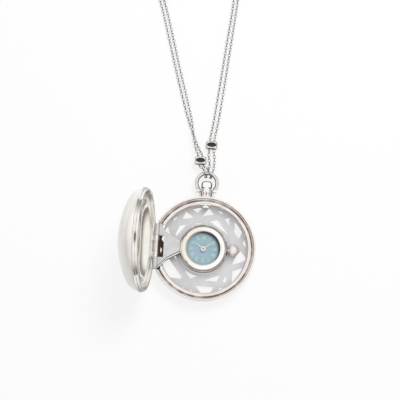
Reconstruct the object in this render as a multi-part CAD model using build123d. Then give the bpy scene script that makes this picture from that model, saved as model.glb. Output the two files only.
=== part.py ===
import os
from math import atan2, cos, degrees, dist, inf, pi, radians, sin, sqrt, tan

from build123d import *

os.makedirs("parts", exist_ok=True)

# A pendant watch that lies on its back with its hunter cover open.
# +Z points out of the dial, +Y to 12 o'clock, +X to 3 o'clock, and the hinge is at 9 o'clock.
# The origin is on the axis of the round case, in the plane that the watch lies on. Millimetres.

# Case ring
ring_outer_radius = 20.0
ring_height = 6.0
ring_foot_inset = 2.1
ring_foot_radius = ring_outer_radius - ring_foot_inset
ring_belly_height = 2.4
ring_width = 3.0
ring_inner_radius = ring_outer_radius - ring_width
ring_foot_round = 4.475
ring_edge_round = 0.45
lip_edge_round = 0.15
lip_inner_round = 0.22
ring_bead_width = 1.0
groove_outer_radius = ring_outer_radius - ring_bead_width
groove_mouth_flare = 0.35
groove_mouth_radius = groove_outer_radius + groove_mouth_flare
groove_depth = 0.8
groove_floor = ring_height - groove_depth
lip_width = 0.6
lip_outer_radius = ring_inner_radius + lip_width
lip_drop = 0.25
lip_height = ring_height - lip_drop
flange_width = 0.55
flange_inner_radius = ring_inner_radius - flange_width
flange_height = 0.45

# Openwork back
lattice_thickness = 0.6
lattice_rim_width = 0.45
lattice_hub_width = 1.0
lattice_bar_width = 2.15
lattice_bar_count = 11
lattice_offset_shares = (0.62, 0.74, 0.55, 0.7, 0.6, 0.78, 0.57, 0.68, 0.75, 0.59, 0.66)
lattice_turn_shares = (0.0, 0.2, -0.25, 0.1, 0.3, -0.15, 0.05, -0.3, 0.2, -0.1, 0.25)

# Hinge
hinge_inset = 1.95
hinge_offset = ring_outer_radius - hinge_inset
hinge_drop = 1.0
hinge_height = ring_height - hinge_drop
knuckle_radius = 1.0
block_radius = 1.15
centre_knuckle_half = 2.15
cover_knuckle_end = 4.15
block_start = 4.2
block_end = 8.6
pin_radius = 0.4
hinge_clearance = 0.04
knuckle_gap = 0.05
hinge_cut_angle = 28.6
hinge_cut_depth = 2.6
hinge_cut_floor = ring_height - hinge_cut_depth
hinge_cut_reach = 3.8
hinge_cut_inner = ring_inner_radius - hinge_cut_reach
knuckle_post_left = 0.85
knuckle_post_right = 0.8
cover_open_angle = 97.5

# Bridge from the hinge to the inner watch
bridge_bottom = 4.1
bridge_left = ring_inner_radius
bridge_half_root = 8.6
bridge_half_mid = 5.0
bridge_half_end = 2.75
bridge_mid_reach = 3.6
bridge_mid_offset = bridge_left - bridge_mid_reach
window_depth = 1.9
window_right = bridge_left - window_depth
window_half = 4.12
block_foot_left = 0.9
block_foot_right = 1.05

# Cover
cover_rim_clearance = 0.15
cover_rim_bottom = groove_floor + cover_rim_clearance
cover_rim_inner = lip_outer_radius + cover_rim_clearance
cover_rim_width = 1.0
cover_rim_outer = cover_rim_inner + cover_rim_width
cover_gap = 0.2
cover_flange_bottom = ring_height + cover_gap
cover_flange_inset = 0.8
cover_flange_radius = ring_outer_radius - cover_flange_inset
cover_flange_thickness = 0.8
cover_flange_top = cover_flange_bottom + cover_flange_thickness
cover_lip_rise = 0.35
cover_lip_top = cover_flange_top + cover_lip_rise
rim_edge_round = 0.22
cover_seat_depth = 0.1
cover_seat_height = cover_flange_top - cover_seat_depth
dome_inset = 0.52
dome_radius = cover_flange_radius - dome_inset
dome_shoulder_radius = 5.2
dome_wall = 0.75
dome_rise = 8.5
dome_top = cover_seat_height + dome_rise
rim_cut_angle = 28.2
leaf_angle = 27.9
leaf_height = 0.55
leaf_bottom = cover_seat_height - leaf_height
leaf_thickness = 0.78
leaf_inner_radius = dome_radius - leaf_thickness
tab_right = 0.15
tab_left = 0.65
collet_radius = 2.9
collet_height = 0.3
stone_radius = 2.5
stone_rise = 0.35
stone_seat = 0.12

# Catch at 12 o'clock
catch_notch_half = 2.0
catch_notch_depth = 2.0
catch_notch_floor = ring_height - catch_notch_depth
lug_half = 1.4
lug_side_gap = 0.1
lug_outer = lip_outer_radius - lug_side_gap
lug_thickness = 0.55
lug_inner = lug_outer - lug_thickness
lug_length = 2.4
lug_bottom = cover_seat_height - lug_length
lug_barb = 0.4
lug_barb_inner = lug_inner - lug_barb
lug_barb_height = 0.45
lug_web = 0.5
catch_gap = 0.12

# Release button, collar and bow
neck_height = 3.0
collar_radius = 2.8
collar_root = 1.8
collar_start = ring_outer_radius - collar_root
collar_width = 1.75
collar_shoulder = ring_outer_radius + collar_width
collar_neck_radius = 2.2
collar_neck_length = 1.35
collar_end = collar_shoulder + collar_neck_length
flute_count = 14
flute_radius = 0.42
flute_depth = 0.22
collar_bore_radius = 1.75
collar_floor_wall = 0.5
collar_bore_floor = ring_outer_radius + collar_floor_wall
stem_radius = 0.8
stem_clearance = 0.05
button_travel = 0.5
button_half_width = 2.05
button_thickness = 3.4
button_gap = 0.05
button_length = 2.5
button_top_round = 1.3
button_edge_round = 0.35
button_plug_radius = 1.67
button_plug_length = 0.55
button_plug_start = collar_end - button_plug_length
nose_half = 1.1
nose_gap = 0.25
nose_outer = lug_barb_inner - nose_gap
nose_thickness = 0.55
nose_inner = nose_outer - nose_thickness
nose_bottom = 2.2
nose_top = cover_rim_bottom
spring_radius = 1.4
spring_wire = 0.12
spring_turns = 3
spring_end_gap = 0.05
bow_mean_radius = 4.0
bow_wire_radius = 0.75
bow_arm_offset = 3.05
bow_pivot_inset = 0.5
bow_pivot = collar_end - bow_pivot_inset
bow_rise = 3.05
bow_centre = bow_pivot + bow_rise
bow_foot_radius = 0.75
bow_foot_inner = 2.3
bow_foot_outer = 3.85
bow_pin_radius = 0.38
bow_pin_clearance = 0.05
bow_pin_inner = 1.85

# Inner watch case
watch_foot_height = 0.9
watch_side_low = 2.1
watch_side_high = 4.6
watch_top_height = 5.2
bridge_rise = 0.15
bridge_top = watch_top_height + bridge_rise
lattice_watch_clearance = 0.05
bezel_rise = 2.1
bezel_crest_height = watch_top_height + bezel_rise
bezel_shoulder_rise = 1.1
bezel_shoulder_height = watch_top_height + bezel_shoulder_rise
crystal_radius = 6.75
crystal_gasket_width = 0.25
crystal_seat_radius = crystal_radius + crystal_gasket_width
bezel_lip_width = 0.3
bezel_opening = crystal_radius - bezel_lip_width
bezel_slope_width = 1.45
bezel_crest_radius = bezel_opening + bezel_slope_width
bezel_wall = 1.9
watch_top_radius = crystal_seat_radius + bezel_wall
watch_shoulder = 0.35
watch_radius = watch_top_radius + watch_shoulder
watch_foot_inset = 0.75
watch_foot_radius = watch_radius - watch_foot_inset
dial_radius = crystal_seat_radius
dial_ledge = 0.3
watch_bore = dial_radius + dial_ledge
crystal_seat_rise = 0.55
crystal_bottom = watch_top_height + crystal_seat_rise
crystal_thickness = 0.85
crystal_top = crystal_bottom + crystal_thickness
bezel_lip_thickness = 0.15
bezel_lip_height = crystal_top + bezel_lip_thickness
flange_ring_height = 1.25
flange_ring_bottom = crystal_bottom - flange_ring_height
flange_ring_slope = 0.5
dial_thickness = 0.35
dial_bottom = flange_ring_bottom - dial_thickness
dial_hole_radius = 0.65
back_plug_clearance = 0.05
back_plug_radius = watch_bore - back_plug_clearance
back_inner_height = 0.95
back_gasket_width = 0.5
back_gasket_outer = watch_bore + back_gasket_width
back_gasket_seat = 0.45
back_edge_chamfer = 0.3

# Crown
crown_height = 3.6
crown_gap = 0.75
crown_start = watch_radius + crown_gap
crown_length = 4.1
crown_radius = 2.5
crown_flutes = 18
crown_flute_radius = 0.22
crown_flute_offset = 0.11
crown_recess_radius = 1.1
crown_recess_depth = 0.9
crown_tube_outer = 0.9
crown_tube_bore = 0.5
crown_tube_inset = 0.225
crown_tube_reach = 0.6
crown_tube_end = crown_start + crown_tube_reach
crown_stem_radius = 0.42
crown_stem_start = 4.9
crown_inner_tangent = (1, 2)
crown_tip_tangent = (0.4, -1)
crown_profile_shares = ((0.0, 0.72), (0.14, 0.97), (0.34, 1.0), (0.58, 0.86), (0.78, 0.52), (0.9, 0.25))
lever_half_width = 0.4
lever_thickness = 0.3
lever_length = 1.5
lever_gap = 0.05

# Movement
plate_clearance = 0.1
plate_radius = watch_bore - plate_clearance
plate_bottom = 2.5
plate_dial_gap = 0.05
plate_top = dial_bottom - plate_dial_gap
works_floor = 3.0
works_clearance = 0.25
stem_slot_half = 0.55
circuit_thickness = 0.25
circuit_left_share = 0.2
battery_radius = 3.4
battery_top = 2.35
battery_bottom = 1.15
battery_foot_height = 0.3
battery_place = (-2.7, -2.4)
strap_width = 1.6
strap_thickness = 0.12
strap_overhang = 0.5
strap_turn = -45.0
coil_radius = 0.5
coil_half_length = 3.4
coil_place = 5.0
coil_cheek_radius = 0.62
coil_cheek_length = 0.4
train_cover_bottom = 1.3
train_cover_size = (4.6, 5.4)
train_cover_place = (3.6, -0.6)
train_cover_round = 0.8

# Motion works and hands
gear_module = 0.1
cannon_teeth = 10
minute_wheel_teeth = 30
minute_pinion_teeth = 8
hour_wheel_teeth = 32
minute_wheel_angle = 205.0
tooth_top_share = 0.7
tooth_root_share = 1.15
tooth_foot_width_share = 0.5
tooth_width_share = 0.4
tooth_tip_share = 0.16
gear_gap = 0.04
lower_gear_thickness = 0.3
upper_gear_thickness = 0.25
upper_pinion_thickness = 0.75
centre_post_radius = 0.14
cannon_pipe_radius = 0.26
hour_pipe_radius = 0.42
wheel_post_radius = 0.14
arbor_clearance = 0.03
hour_hand_rise = 0.22
hour_hand_bottom = flange_ring_bottom + hour_hand_rise
hand_thickness = 0.1
hand_layer = 0.24
hour_hand_length = 4.05
minute_hand_length = 5.4
hour_hand_width = 0.48
minute_hand_width = 0.4
hand_tip_width = 0.16
hour_boss_radius = 0.85
minute_boss_radius = 0.85
cap_radius = 1.12
cap_height = 0.3
cap_round = 0.12
hour_hand_bearing = 304.5
minute_hand_bearing = 54.0

# Chain, slider beads and the put-away coil
chain_diameter = 1.3
strand_spacing = 1.7
chain_bow_clearance = 0.2
bead_length = 3.0
bead_width = 4.8
bead_height = 2.7
bead_slot_clearance = 0.16
bead_lead = 0.4
bead_grip_width = 3.8
bead_grip_height = 2.1
bead_grip_inset = 0.25
bead_edge_round = 0.6
bead_window_width = 3.0
bead_window_length = 1.5
left_bead = (-2.95, 34.3, 3.4)
right_bead = (1.05, 41.05, 1.4)
coil_spacing = 2.0
coil_layer = 2.0
coil_half_turns = 5
coil_lead = 5.5
coil_radius_start = 16.0
coil_centre = (-15.5, 121.0, 0.7)
strand_lead = {"a": -0.6, "b": 1.35}
run_share = 0.45
bow_turn_share = 0.9
neighbour_steps = 6

# Bearings round the case, counterclockwise from 3 o'clock
hinge_bearing = 180.0
catch_bearing = 90.0

# One overrun for every cut
overrun = 1.0

# Worked out from the sizes above
bead_half = bead_length / 2
strand_half = strand_spacing / 2
dial_top = flange_ring_bottom
lattice_top = flange_height + lattice_thickness
button_start = collar_end + button_travel + button_gap
button_end = button_start + button_length
hinge_line = (-hinge_offset, 0, hinge_height)
dome_crown_radius = (dome_radius**2 + dome_rise**2 - 2 * dome_radius * dome_shoulder_radius) / (
    2 * (dome_rise - dome_shoulder_radius)
)


def lathe(outline, rounds=()):
    """A solid turned about Z from an outline of (radius, height) points."""
    face = make_face(Polyline(*outline, close=True))
    for point, radius in rounds:
        corner = face.vertices().sort_by_distance((point[0], point[1], 0))[0]
        face = fillet(corner, radius)
    return revolve(Plane.XZ * face, Axis.Z, 360)


def disc(radius, bottom, top):
    return Pos(0, 0, bottom) * Cylinder(radius, top - bottom, align=(Align.CENTER, Align.CENTER, Align.MIN))


def tube(outer, inner, bottom, top):
    return disc(outer, bottom, top) - disc(inner, bottom, top)


def block(x_range, y_range, z_range):
    size = (high - low for low, high in (x_range, y_range, z_range))
    return Pos(x_range[0], y_range[0], z_range[0]) * Box(*size, align=Align.MIN)


def wedge(r_range, z_range, middle, half):
    """A ring's sector between two radii and two heights, half degrees each side of its middle bearing."""
    (inner, outer), (bottom, top) = r_range, z_range
    section = make_face(Polyline((inner, bottom), (outer, bottom), (outer, top), (inner, top), close=True))
    return Rot(0, 0, middle - half) * revolve(Plane.XZ * section, Axis.Z, 2 * half)


def rod_y(radius, x, z, start, end):
    """A cylinder along Y, from start to end."""
    place = Plane(origin=(x, start, z), x_dir=(1, 0, 0), z_dir=(0, 1, 0))
    return place * Cylinder(radius, end - start, align=(Align.CENTER, Align.CENTER, Align.MIN))


def rod_x(radius, y, z, start, end):
    """A cylinder along X, from start to end."""
    place = Plane(origin=(start, y, z), x_dir=(0, 1, 0), z_dir=(1, 0, 0))
    return place * Cylinder(radius, end - start, align=(Align.CENTER, Align.CENTER, Align.MIN))


def both_sides(solid):
    """The solid and its mirror image across the XZ plane."""
    return solid + mirror(solid, about=Plane.XZ)


def extrude_outline(edges, bottom, top):
    return Pos(0, 0, bottom) * extrude(make_face(edges), top - bottom)


def opened(solid):
    """Turns a cover piece from its closed place to the open rest place."""
    line = Axis(hinge_line, (0, 1, 0))
    return solid.rotate(line, -cover_open_angle)


# The case ring

ring_outside = [
    (ring_foot_radius, 0),
    (ring_outer_radius, ring_belly_height),
    (ring_outer_radius, ring_height),
]


def ring_blank():
    """The ring's outer form without its bore, to cut pieces that seat on it."""
    outline = [(0, 0)] + ring_outside + [(0, ring_height)]
    rounds = [(ring_outside[1], ring_foot_round), (ring_outside[2], ring_edge_round)]
    return lathe(outline, rounds)


def case_ring():
    outline = ring_outside + [
        (groove_mouth_radius, ring_height),
        (groove_outer_radius, groove_floor),
        (lip_outer_radius, groove_floor),
        (lip_outer_radius, lip_height),
        (ring_inner_radius, lip_height),
        (ring_inner_radius, flange_height),
        (flange_inner_radius, flange_height),
        (flange_inner_radius, 0),
    ]
    rounds = [
        (ring_outside[1], ring_foot_round),
        (ring_outside[2], ring_edge_round),
        ((groove_mouth_radius, ring_height), lip_edge_round),
        ((ring_inner_radius, lip_height), lip_inner_round),
        ((lip_outer_radius, lip_height), lip_edge_round),
    ]
    ring = lathe(outline, rounds)
    top = ring_height + overrun
    reach = (hinge_cut_inner, ring_outer_radius + overrun)
    ring -= wedge(reach, (hinge_cut_floor, top), hinge_bearing, hinge_cut_angle)
    post = block(
        (-hinge_offset - knuckle_post_left, -hinge_offset + knuckle_post_right),
        (-centre_knuckle_half, centre_knuckle_half),
        (hinge_cut_floor, hinge_height),
    )
    knuckle = rod_y(knuckle_radius, -hinge_offset, hinge_height, -centre_knuckle_half, centre_knuckle_half)
    bore = rod_y(pin_radius, -hinge_offset, hinge_height, -block_end, block_end)
    ring += post + knuckle
    ring -= bore
    notch = (lug_barb_inner - overrun, lug_outer + catch_gap)
    ring -= wedge(notch, (catch_notch_floor, top), catch_bearing, degrees(catch_notch_half / lug_outer))
    ring -= rod_y(stem_radius + stem_clearance, 0, neck_height, nose_inner, ring_outer_radius + overrun)
    return ring


def openwork_back():
    """A thin plate pierced by the spaces between crossing straight bars."""
    bottom, top = flange_height, lattice_top
    outer = ring_inner_radius
    hub = watch_radius + lattice_watch_clearance
    field = tube(outer, hub, bottom, top)
    bars = tube(outer, outer - lattice_rim_width, bottom, top)
    bars += tube(hub + lattice_hub_width, hub, bottom, top)
    step = 2 * pi / lattice_bar_count
    for index in range(lattice_bar_count):
        angle = step * (index + lattice_turn_shares[index])
        offset = outer * lattice_offset_shares[index]
        bar = block(
            (offset - lattice_bar_width / 2, offset + lattice_bar_width / 2),
            (-outer, outer),
            (bottom, top),
        )
        bars += Rot(0, 0, degrees(angle)) * bar
    return bars & field


def case_bridge():
    """Fan-shaped arm and hinge blocks in one piece, seated on the ring and soldered to the inner watch."""
    edge = ThreePointArc(
        (-bridge_left, -bridge_half_root),
        (-bridge_mid_offset, -bridge_half_mid),
        (-watch_top_radius, -bridge_half_end),
    )
    outline = [
        edge,
        Line((-watch_top_radius, -bridge_half_end), (-watch_top_radius, bridge_half_end)),
        edge.mirror(Plane.XZ),
        Line((-bridge_left, bridge_half_root), (-bridge_left, -bridge_half_root)),
    ]
    arm = extrude_outline(outline, bridge_bottom, bridge_top)
    arm -= block(
        (-bridge_left - overrun, -window_right),
        (-window_half, window_half),
        (bridge_bottom - overrun, bridge_top + overrun),
    )
    arm -= lathe(watch_side())
    half = rod_y(block_radius, -hinge_offset, hinge_height, block_start, block_end)
    half += block(
        (-hinge_offset - block_foot_left, -hinge_offset + block_foot_right),
        (block_start, block_end),
        (hinge_cut_floor, hinge_height),
    )
    half += block(
        (-hinge_offset, -bridge_left + overrun),
        (block_start, block_end),
        (bridge_bottom, bridge_top),
    )
    arm += both_sides(half)
    return arm - rod_y(pin_radius, -hinge_offset, hinge_height, -block_end - overrun, block_end + overrun)


def hinge_pin():
    return rod_y(pin_radius, -hinge_offset, hinge_height, -block_end, block_end)


# The cover, modelled closed and then opened about the hinge line


def dome_arcs(inset):
    """The dome's shoulder arc and crown arc, tangent to each other, moved in by the inset."""
    shoulder = (dome_radius - dome_shoulder_radius, cover_seat_height)
    crown = (0, dome_top - dome_crown_radius)
    meeting = atan2(shoulder[1] - crown[1], shoulder[0])
    arcs = []
    for centre, radius, start, end in (
        (shoulder, dome_shoulder_radius - inset, 0, meeting),
        (crown, dome_crown_radius - inset, meeting, pi / 2),
    ):
        points = [
            (centre[0] + radius * cos(angle), centre[1] + radius * sin(angle))
            for angle in (start, (start + end) / 2, end)
        ]
        arcs.append(ThreePointArc(*points))
    return arcs


def cover_dome():
    outer, inner = dome_arcs(0), dome_arcs(dome_wall)
    seat = Line(outer[0] @ 0, inner[0] @ 0)
    axis = Line(outer[1] @ 1, inner[1] @ 1)
    return opened(revolve(Plane.XZ * make_face([*outer, axis, *inner, seat]), Axis.Z, 360))


def cover_rim():
    outline = [
        (cover_rim_inner, cover_rim_bottom),
        (cover_rim_outer, cover_rim_bottom),
        (cover_rim_outer, cover_flange_bottom),
        (cover_flange_radius, cover_flange_bottom),
        (cover_flange_radius, cover_flange_top),
        (dome_radius, cover_lip_top),
        (dome_radius, cover_seat_height),
        (cover_rim_inner, cover_seat_height),
    ]
    rounds = [
        ((cover_rim_inner, cover_rim_bottom), rim_edge_round),
        ((cover_rim_outer, cover_rim_bottom), rim_edge_round),
        ((cover_flange_radius, cover_flange_bottom), rim_edge_round),
        ((cover_flange_radius, cover_flange_top), rim_edge_round),
    ]
    rim = lathe(outline, rounds)
    reach = (hinge_cut_inner, cover_flange_radius + overrun)
    lift = (cover_rim_bottom - overrun, cover_lip_top + overrun)
    rim -= wedge(reach, lift, hinge_bearing, rim_cut_angle)
    return opened(rim)


def hinge_leaf():
    """Curved band that carries the dome's edge over the hinge, with the cover's two knuckles."""
    reach = (leaf_inner_radius, dome_radius)
    band = wedge(reach, (leaf_bottom, cover_seat_height), hinge_bearing, leaf_angle)
    start = centre_knuckle_half + knuckle_gap
    side = rod_y(knuckle_radius, -hinge_offset, hinge_height, start, cover_knuckle_end)
    side += block(
        (-hinge_offset - tab_left, -hinge_offset + tab_right),
        (start, cover_knuckle_end),
        (hinge_height, cover_seat_height),
    )
    leaf = band + both_sides(side)
    bore = rod_y(pin_radius + hinge_clearance, -hinge_offset, hinge_height, -block_end, block_end)
    return opened(leaf - bore)


def catch_lug():
    """Hook below the cover's rim at 12 o'clock, which drops through the notch in the ring's lip."""
    lug = block((-lug_half, lug_half), (lug_inner, lug_outer), (lug_bottom, cover_seat_height))
    barb = block(
        (-lug_half, lug_half),
        (lug_barb_inner, lug_outer),
        (lug_bottom, lug_bottom + lug_barb_height),
    )
    bridge = block(
        (-lug_half, lug_half),
        (lug_inner, cover_rim_inner + lug_web),
        (cover_rim_bottom + lug_web, cover_seat_height),
    )
    return opened((lug + barb + bridge) - rim_space())


def rim_space():
    """The space that the cover's rim fills, for pieces soldered inside it."""
    return tube(cover_flange_radius, cover_rim_inner, cover_rim_bottom - overrun, cover_lip_top)


def cap_arc(edge, top):
    """A sphere's arc from an edge point (radius, height) to the top point on the axis."""
    rise = top[1] - edge[1]
    sphere = (edge[0] ** 2 + rise**2) / (2 * rise)
    half = atan2(edge[0], sphere - rise) / 2
    middle = (sphere * sin(half), top[1] - sphere + sphere * cos(half))
    return ThreePointArc(edge, middle, top)


def stone_collet():
    """Low cup for the stone, seated on the dome's top."""
    edge = dome_top - dome_crown_radius + sqrt(dome_crown_radius**2 - collet_radius**2)
    under = cap_arc((collet_radius, edge), (0, dome_top))
    cup = Polyline(
        under @ 0,
        (collet_radius, dome_top + collet_height),
        (stone_radius, dome_top + collet_height),
        (stone_radius, dome_top + stone_seat),
        (0, dome_top + stone_seat),
        under @ 1,
    )
    return opened(revolve(Plane.XZ * make_face([under, cup]), Axis.Z, 360))


def cover_stone():
    """Cabochon: a short cylinder with a domed top."""
    girdle = dome_top + collet_height
    outline = [
        Line((0, dome_top + stone_seat), (stone_radius, dome_top + stone_seat)),
        Line((stone_radius, dome_top + stone_seat), (stone_radius, girdle)),
        cap_arc((stone_radius, girdle), (0, girdle + stone_rise)),
        Line((0, girdle + stone_rise), (0, dome_top + stone_seat)),
    ]
    return opened(revolve(Plane.XZ * make_face(outline), Axis.Z, 360))


# Neck: collar, release button, spring and bow


def collar():
    """Fluted collar with a plain neck at 12 o'clock, bored for the button and for the bow's two pins."""
    body = rod_y(collar_radius, 0, neck_height, collar_start, collar_shoulder)
    for index in range(flute_count):
        angle = 2 * pi * (index + 0.5) / flute_count
        reach = collar_radius + flute_radius - flute_depth
        body -= rod_y(
            flute_radius,
            reach * cos(angle),
            neck_height + reach * sin(angle),
            ring_outer_radius + flute_radius,
            collar_shoulder,
        )
    body += rod_y(collar_neck_radius, 0, neck_height, collar_start, collar_end)
    body -= ring_blank()
    body -= rod_y(collar_bore_radius, 0, neck_height, collar_bore_floor, collar_end + overrun)
    body -= rod_y(stem_radius + stem_clearance, 0, neck_height, collar_start, collar_end)
    body -= rod_x(bow_pin_radius + bow_pin_clearance, bow_pivot, neck_height, -collar_radius, collar_radius)
    return body.solids().sort_by(SortBy.VOLUME)[-1]


def release_button():
    """Block with a rounded top, its plug and stem, and the catch's nose inside the ring."""
    outline = make_face(
        Polyline(
            (-button_half_width, button_start),
            (button_half_width, button_start),
            (button_half_width, button_end),
            (-button_half_width, button_end),
            close=True,
        )
    )
    outline = fillet(outline.vertices().sort_by(Axis.Y)[-2:], button_top_round)
    cap = Pos(0, 0, neck_height - button_thickness / 2) * extrude(outline, button_thickness)
    cap = fillet(cap.faces().sort_by(Axis.Z)[-1].edges(), button_edge_round)
    cap = fillet(cap.faces().sort_by(Axis.Z)[0].edges(), button_edge_round)
    cap += rod_y(button_plug_radius, 0, neck_height, button_plug_start, button_start + button_edge_round)
    cap += rod_y(stem_radius, 0, neck_height, nose_inner, button_plug_start)
    cap += block((-nose_half, nose_half), (nose_inner, nose_outer), (nose_bottom, nose_top))
    cap += block(
        (-nose_half, nose_half),
        (nose_inner, lug_barb_inner - catch_gap),
        (lug_bottom + lug_barb_height + catch_gap, nose_top),
    )
    return cap


def button_spring():
    """Return spring round the stem, between the collar's floor and the button's plug."""
    low = collar_bore_floor + spring_wire + spring_end_gap
    high = button_plug_start - spring_wire - spring_end_gap
    path = Helix((high - low) / spring_turns, high - low, spring_radius)
    section = Plane(origin=path @ 0, z_dir=path % 0) * Circle(spring_wire)
    coil = sweep(section, path)
    place = Plane(origin=(0, low, neck_height), x_dir=(1, 0, 0), z_dir=(0, 1, 0))
    return place * coil


def bow():
    """Round wire ring, open at the collar, with a round foot and a pin at each end."""
    lift = sqrt(bow_mean_radius**2 - bow_arm_offset**2)
    dip = degrees(atan2(lift, bow_arm_offset))
    wire = Plane.XZ * (Pos(bow_mean_radius, 0) * Circle(bow_wire_radius))
    arc = revolve(wire, Axis.Z, 180 + 2 * dip)
    ring = Pos(0, bow_centre, neck_height) * (Rot(0, 0, -dip) * arc)
    end = bow_centre - lift
    for side in (-1, 1):
        ring += Pos(side * bow_arm_offset, end, neck_height) * Sphere(bow_wire_radius)
        ring += rod_y(bow_wire_radius, side * bow_arm_offset, neck_height, bow_pivot, end)
        inner, outer = sorted((side * bow_foot_inner, side * bow_foot_outer))
        ring += rod_x(bow_foot_radius, bow_pivot, neck_height, inner, outer)
        inner, outer = sorted((side * bow_pin_inner, side * bow_foot_outer))
        ring += rod_x(bow_pin_radius, bow_pivot, neck_height, inner, outer)
    return ring


# The inner watch's case


def watch_side():
    """Outline of the filled middle case."""
    return [
        (0, watch_foot_height),
        (watch_foot_radius, watch_foot_height),
        (watch_radius, watch_side_low),
        (watch_radius, watch_side_high),
        (watch_top_radius, watch_top_height),
        (0, watch_top_height),
    ]


def middle_case():
    body = lathe(watch_side())
    body -= disc(watch_bore, watch_foot_height, watch_top_height)
    body -= disc(back_gasket_outer, watch_foot_height, watch_foot_height + back_gasket_seat)
    return body - rod_x(crown_tube_outer, 0, crown_height, watch_bore - overrun, watch_radius + overrun)


def case_back():
    """Flat snap back that the watch lies on, with a plug inside the middle case."""
    outline = [
        (0, 0),
        (watch_foot_radius - back_edge_chamfer, 0),
        (watch_foot_radius, back_edge_chamfer),
        (watch_foot_radius, watch_foot_height),
        (back_plug_radius, watch_foot_height),
        (back_plug_radius, watch_foot_height + back_gasket_seat),
        (back_plug_radius - back_gasket_seat, watch_foot_height + back_gasket_seat),
        (back_plug_radius - back_gasket_seat, back_inner_height),
        (0, back_inner_height),
    ]
    return lathe(outline)


def case_back_gasket():
    return tube(back_gasket_outer, watch_bore, watch_foot_height, watch_foot_height + back_gasket_seat)


def watch_bezel():
    """Rounded bezel that holds the crystal under its inner lip."""
    outline = [
        Line((crystal_seat_radius, watch_top_height), (watch_top_radius, watch_top_height)),
        ThreePointArc(
            (watch_top_radius, watch_top_height),
            (watch_radius - (watch_radius - bezel_crest_radius) * (1 - cos(pi / 4)), bezel_shoulder_height),
            (bezel_crest_radius, bezel_crest_height),
        ),
        Line((bezel_crest_radius, bezel_crest_height), (bezel_opening, bezel_lip_height)),
        Line((bezel_opening, bezel_lip_height), (bezel_opening, crystal_top)),
        Line((bezel_opening, crystal_top), (crystal_seat_radius, crystal_top)),
        Line((crystal_seat_radius, crystal_top), (crystal_seat_radius, watch_top_height)),
    ]
    return revolve(Plane.XZ * make_face(outline), Axis.Z, 360)


def crystal():
    return disc(crystal_radius, crystal_bottom, crystal_top)


def crystal_gasket():
    return tube(crystal_seat_radius, crystal_radius, crystal_bottom, crystal_top)


def flange_ring():
    """Ring between the dial and the crystal, its inner wall widening upwards."""
    outline = [
        (bezel_opening - flange_ring_slope, flange_ring_bottom),
        (crystal_seat_radius, flange_ring_bottom),
        (crystal_seat_radius, crystal_bottom),
        (bezel_opening, crystal_bottom),
    ]
    return lathe(outline)


def dial():
    return tube(dial_radius, dial_hole_radius, dial_bottom, dial_top)


# Crown, its tube, stem and setting lever


def crown():
    """Onion crown: a swelling profile turned about the stem's axis and fluted along it."""
    profile = [(crown_length * along, crown_radius * out) for along, out in crown_profile_shares]
    tip = (crown_length, 0)
    outline = [
        Line((0, 0), profile[0]),
        Spline(*profile, tip, tangents=[crown_inner_tangent, crown_tip_tangent]),
        Line(tip, (0, 0)),
    ]
    body = revolve(make_face(outline), Axis.X, 360)
    body -= rod_x(crown_recess_radius, 0, 0, 0, crown_recess_depth)
    for index in range(crown_flutes):
        angle = 2 * pi * index / crown_flutes
        reach = crown_radius + crown_flute_offset
        body -= rod_x(crown_flute_radius, reach * cos(angle), reach * sin(angle), 0, crown_length)
    body += rod_x(crown_stem_radius, 0, 0, 0, crown_recess_depth)
    return Pos(crown_start, 0, crown_height) * body


def crown_tube():
    outer = rod_x(crown_tube_outer, 0, crown_height, watch_bore, crown_tube_end)
    outer -= rod_x(crown_tube_outer, 0, crown_height, watch_bore, watch_bore + crown_tube_inset)
    return outer - rod_x(crown_tube_bore, 0, crown_height, watch_bore, crown_tube_end)


def winding_stem():
    return rod_x(crown_stem_radius, 0, crown_height, crown_stem_start, crown_start)


def setting_lever():
    """Small plate at the stem's inner end, which moves out with it when the crown is pulled."""
    return block(
        (crown_stem_start - lever_length, crown_stem_start),
        (-lever_half_width, lever_half_width),
        (crown_height - lever_thickness / 2, crown_height + lever_thickness / 2),
    )


# Movement


def gear(teeth, bottom, thickness, bore):
    """A spur gear of straight-flanked teeth, the first centred on +X."""
    pitch = gear_module * teeth / 2
    top = pitch + gear_module * tooth_top_share
    root = pitch - gear_module * tooth_root_share
    step = 2 * pi / teeth
    points = []
    for index in range(teeth):
        middle = index * step
        for radius, share in (
            (root, -tooth_foot_width_share),
            (pitch, -tooth_width_share),
            (top, -tooth_tip_share),
            (top, tooth_tip_share),
            (pitch, tooth_width_share),
            (root, tooth_foot_width_share),
        ):
            angle = middle + share * step / 2
            points.append((radius * cos(angle), radius * sin(angle)))
    face = make_face(Polyline(*points, close=True)) - Circle(bore)
    return Pos(0, 0, bottom) * extrude(face, thickness)


centre_distance = gear_module * (cannon_teeth + minute_wheel_teeth) / 2
lower_gear_bottom = works_floor + gear_gap
upper_gear_bottom = lower_gear_bottom + lower_gear_thickness + gear_gap
wheel_place = (
    centre_distance * cos(radians(minute_wheel_angle)),
    centre_distance * sin(radians(minute_wheel_angle)),
)


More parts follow.
